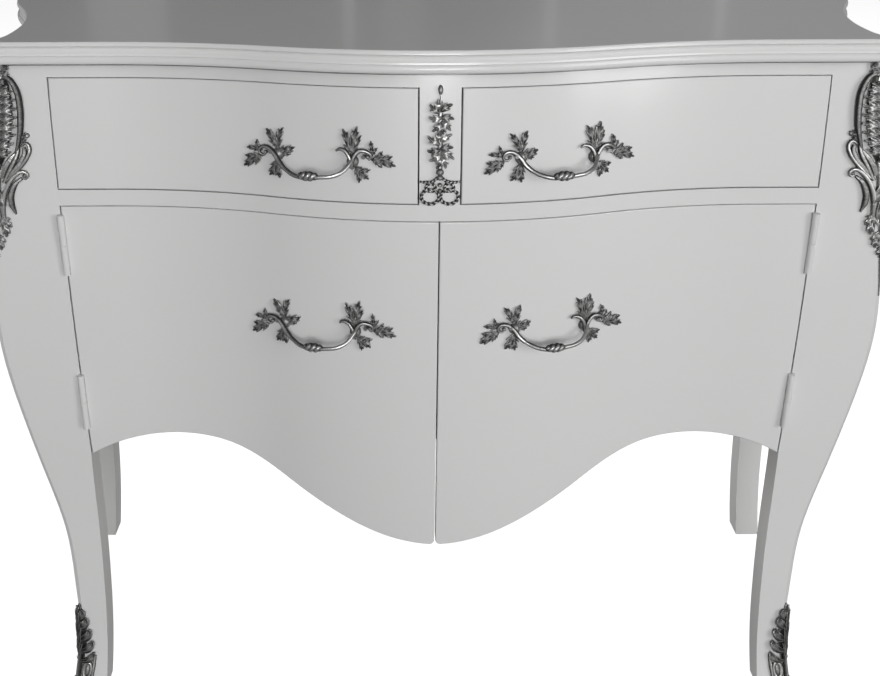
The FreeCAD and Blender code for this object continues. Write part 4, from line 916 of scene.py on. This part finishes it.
def wood_material(name, light, dark, axis):
    """Bare wood with its grain along one axis: stretched rings, fine dark pores and a soft sheen."""
    material, tree, shader = new_material(name)
    grain = GRAIN_STRETCH[axis]
    rings = add_noise(tree, scale=60.0, detail=8.0, roughness=0.66, stretch=grain)
    ring_stops = ((0.34, dark), (0.5, light), (0.68, shade(light, 1.12)))
    pores = add_noise(tree, scale=420.0, detail=3.0, stretch=grain)
    pore_stops = ((0.34, (0.62, 0.56, 0.5)), (0.5, (1.0, 1.0, 1.0)))
    figure = add_product(tree, pores, add_ramp(tree, rings, ring_stops), add_ramp(tree, pores, pore_stops))
    tree.links.new(figure, shader.inputs["Base Color"])
    tree.links.new(add_range(tree, pores, 0.45, 0.68), shader.inputs["Roughness"])
    add_bump(tree, shader, pores, strength=0.18, distance=0.001)
    return material


BRUSH_STRETCH = (1.0, 1.0, 14.0)


def steel_material(name, colour):
    """Turned steel: bright, with fine brushed lines and slightly uneven gloss."""
    material, tree, shader = new_material(name)
    lines = add_noise(tree, scale=160.0, detail=3.0, stretch=BRUSH_STRETCH)
    stops = ((0.3, shade(colour, 0.72)), (0.7, colour))
    tree.links.new(add_ramp(tree, lines, stops), shader.inputs["Base Color"])
    tree.links.new(add_range(tree, lines, 0.3, 0.46), shader.inputs["Roughness"])
    shader.inputs["Metallic"].default_value = 1.0
    return material


# Operators.

class COMMODE_OT_finishes(bpy.types.Operator):
    """Make the finishes and put them on every timber and fitting of the chest."""

    bl_idname = "commode.finishes"
    bl_label = "Finishes"

    def execute(self, context):
        chosen = context.scene.commode_finishes
        colour = tuple(chosen.lacquer_colour)
        finishes = {
            "lacquer": lacquer_material("white_lacquer", colour,
                                        chosen.lacquer_roughness, chosen.lacquer_ripple),
            "hinge_paint": lacquer_material("hinge_lacquer", shade(colour, 0.97),
                                            roughness=0.36, ripple=0.12),
            SILVER: silver_material(SILVER_FINISH, tuple(chosen.silver_bright), tuple(chosen.silver_dark)),
            "steel": steel_material("turned_steel", tuple(chosen.steel_colour)),
        }
        light = tuple(chosen.wood_light)
        dark = tuple(chosen.wood_dark)
        woods = {axis: wood_material(f"bare_wood_{axis}", light, dark, axis) for axis in GRAIN_STRETCH}
        for part in frame["record"]["subparts"]:
            node = frame["nodes"][part["node"]]
            slot = part["material_slot"]
            if slot == "inner_wood":
                low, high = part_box(part["node"])
                material = woods["XYZ"[int(np.argmax(high - low))]]
            else:
                material = finishes[slot]
            node.data.materials.clear()
            node.data.materials.append(material)
        return {"FINISHED"}


PULL_HEIGHTS = {"drawer": 0.71175, "door": 0.5275}


class COMMODE_OT_pulls(bpy.types.Operator):
    """Cast the four leafy bow pulls, one on each drawer and door."""

    bl_idname = "commode.pulls"
    bl_label = "Bow Pulls"

    def execute(self, context):
        place = context.scene.commode_castings.pull_place
        casting = draw_pull()
        for side, sign in (("left", -1), ("right", 1)):
            for front, height in PULL_HEIGHTS.items():
                body = f"{front}_{side}"
                piece = casting.make(f"{body}_bow_pull", front_seat(sign * place, height))
                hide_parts(f"{body}_pull")
                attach(piece, body)
        return {"FINISHED"}


class COMMODE_OT_mounts(bpy.types.Operator):
    """Cast the corner and foot mounts of both front posts."""

    bl_idname = "commode.mounts"
    bl_label = "Corner and Foot Mounts"

    def execute(self, context):
        seat = post_seat()
        for label, casting in (("corner_mount", draw_corner()), ("foot_mount", draw_foot())):
            for side in ("left", "right"):
                piece = casting.make(f"{label}_{side}_casting", seat, mirror=side == "left")
                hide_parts(f"{label}_{side}")
                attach(piece, "carcass")
        return {"FINISHED"}


class COMMODE_OT_drop(bpy.types.Operator):
    """Cast the hanging drop on the upright between the drawers."""

    bl_idname = "commode.drop"
    bl_label = "Drop Ornament"

    def execute(self, context):
        piece = draw_drop().make("drop_casting", front_seat(0.0, DROP_MIDDLE))
        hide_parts("drop_ornament")
        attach(piece, "carcass")
        return {"FINISHED"}


LIGHT_TARGET = Vector((0.0, -0.1, 0.45))
LIGHTS = (
    # name, place, width of each round light; its power is the setting of that name
    ("key", (4.5, -4.5, 1.6), 3.0),
    ("high", (0.0, 1.0, 5.0), 3.0),
    ("front", (0.2, -6.5, 1.6), 2.4),
    ("fill", (-2.2, -2.2, 0.8), 1.6),
    ("back", (2.2, 6.0, 3.0), 4.0),
    ("left", (-5.0, 1.6, 0.5), 0.9),
    ("right", (5.0, 1.6, 0.5), 0.9),
    ("low", (0.0, 4.5, 0.4), 0.75),
)
STRIP_Y = 6.0
STRIP_Z = 1.75
STRIP_HEIGHT = 1.4
STRIPS = (
    # x, width, brightness of each upright strip behind the chest
    (-1.66, 0.46, 1.0), (-0.33, 0.07, 1.6), (0.0, 0.26, 0.5), (0.88, 0.08, 1.2), (1.9, 0.06, 1.6),
)
FLOOR_HALF = 12.0
FLOOR_ROUGHNESS = 0.8
SENSOR_WIDTH = 36.0


class COMMODE_OT_studio(bpy.types.Operator):
    """Lay the floor, set the lights and the room, and stand the camera."""

    bl_idname = "commode.studio"
    bl_label = "Studio"

    def execute(self, context):
        scene = context.scene
        studio = scene.commode_studio
        self.lay_floor(studio)
        self.light_room(scene, studio)
        for name, place, width in LIGHTS:
            self.hang_light(f"{name}_light", place, getattr(studio, f"{name}_power"), width)
        for number, (x, width, glow) in enumerate(STRIPS):
            power = math.pi * width * STRIP_HEIGHT * glow * studio.strip_glow
            lamp = self.hang_light(f"strip_light_{number}", (x, STRIP_Y, STRIP_Z), power, width)
            lamp.data.shape = "RECTANGLE"
            lamp.data.size_y = STRIP_HEIGHT
        self.stand_camera(scene, studio)
        scene.view_settings.view_transform = "Standard"
        return {"FINISHED"}

    def lay_floor(self, studio):
        """A pale floor that glows evenly in the picture and throws little light back on the chest."""
        mesh = bpy.data.meshes.new("floor")
        signs = ((-1, -1), (1, -1), (1, 1), (-1, 1))
        mesh.from_pydata([(x * FLOOR_HALF, y * FLOOR_HALF, 0) for x, y in signs], [], [(0, 1, 2, 3)])
        floor = bpy.data.objects.new("floor", mesh)
        bpy.context.scene.collection.objects.link(floor)
        material, tree, shader = new_material("studio_floor")
        shader.inputs["Base Color"].default_value = (*studio.floor_colour, 1.0)
        shader.inputs["Roughness"].default_value = FLOOR_ROUGHNESS
        shader.inputs["Emission Color"].default_value = (1.0, 1.0, 1.0, 1.0)
        shader.inputs["Emission Strength"].default_value = studio.floor_glow
        bounce = add_node(tree, "ShaderNodeBsdfDiffuse", Color=(*[studio.floor_bounce] * 3, 1.0))
        seen = tree.nodes.new("ShaderNodeLightPath")
        choice = tree.nodes.new("ShaderNodeMixShader")
        tree.links.new(seen.outputs["Is Camera Ray"], choice.inputs[0])
        tree.links.new(bounce.outputs["BSDF"], choice.inputs[1])
        tree.links.new(shader.outputs["BSDF"], choice.inputs[2])
        tree.links.new(choice.outputs["Shader"], tree.nodes["Material Output"].inputs["Surface"])
        mesh.materials.append(material)

    def light_room(self, scene, studio):
        """White where the camera looks, and a dim even grey for everything else."""
        world = bpy.data.worlds.new("room")
        world.use_nodes = True
        tree = world.node_tree
        background = tree.nodes["Background"]
        background.inputs["Color"].default_value = (1.0, 1.0, 1.0, 1.0)
        seen = tree.nodes.new("ShaderNodeLightPath")
        spread = add_node(tree, "ShaderNodeMapRange", To_Min=studio.room_light, To_Max=studio.room_white)
        tree.links.new(seen.outputs["Is Camera Ray"], spread.inputs["Value"])
        tree.links.new(spread.outputs["Result"], background.inputs["Strength"])
        scene.world = world

    def hang_light(self, name, place, power, width):
        """A round light that faces the chest."""
        light = bpy.data.lights.new(name, "AREA")
        light.shape = "DISK"
        light.size = width
        light.energy = power
        lamp = bpy.data.objects.new(name, light)
        lamp.location = place
        lamp.rotation_euler = (LIGHT_TARGET - Vector(place)).to_track_quat("-Z", "Y").to_euler()
        bpy.context.scene.collection.objects.link(lamp)
        return lamp

    def stand_camera(self, scene, studio):
        """A level camera at its place, rolled, pitched down and then turned sideways."""
        pitch, roll, yaw = studio.camera_turn
        lens = bpy.data.cameras.new("camera")
        lens.lens = studio.camera_lens
        lens.sensor_width = SENSOR_WIDTH
        lens.shift_x = studio.camera_shift
        camera = bpy.data.objects.new("camera", lens)
        look = Matrix.Rotation(math.pi / 2 - pitch, 4, "X") @ Matrix.Rotation(roll, 4, "Z")
        turn = Matrix.Rotation(-yaw, 4, "Z") @ look
        camera.matrix_world = Matrix.Translation(Vector(studio.camera_place)) @ turn
        scene.collection.objects.link(camera)
        scene.camera = camera


class COMMODE_PT_panel(bpy.types.Panel):
    """Lists the steps that dress the commode, with their sizes and colours."""

    bl_idname = "COMMODE_PT_panel"
    bl_label = "Commode"
    bl_space_type = "VIEW_3D"
    bl_region_type = "UI"
    bl_category = "Commode"

    def draw(self, context):
        for step in STEPS:
            self.layout.operator(step.bl_idname)
        for group in (context.scene.commode_finishes, context.scene.commode_castings,
                      context.scene.commode_studio):
            box = self.layout.box()
            for name in group.__annotations__:
                box.prop(group, name)


GROUPS = {
    "commode_finishes": CommodeFinishes,
    "commode_castings": CommodeCastings,
    "commode_studio": CommodeStudio,
}
STEPS = (COMMODE_OT_finishes, COMMODE_OT_pulls, COMMODE_OT_mounts, COMMODE_OT_drop, COMMODE_OT_studio)


def register():
    """Make the settings, the operators and the panel known."""
    for item in (*GROUPS.values(), *STEPS, COMMODE_PT_panel):
        bpy.utils.register_class(item)
    for name, group in GROUPS.items():
        setattr(bpy.types.Scene, name, bpy.props.PointerProperty(type=group))


def unregister():
    """Take the settings, the operators and the panel away again."""
    for name in GROUPS:
        delattr(bpy.types.Scene, name)
    for item in (COMMODE_PT_panel, *reversed(STEPS), *GROUPS.values()):
        bpy.utils.unregister_class(item)


def main():
    """Dress the chest."""
    register()
    bpy.ops.commode.finishes()
    bpy.ops.commode.pulls()
    bpy.ops.commode.mounts()
    bpy.ops.commode.drop()
    bpy.ops.commode.studio()


if __name__ == "__main__":
    main()
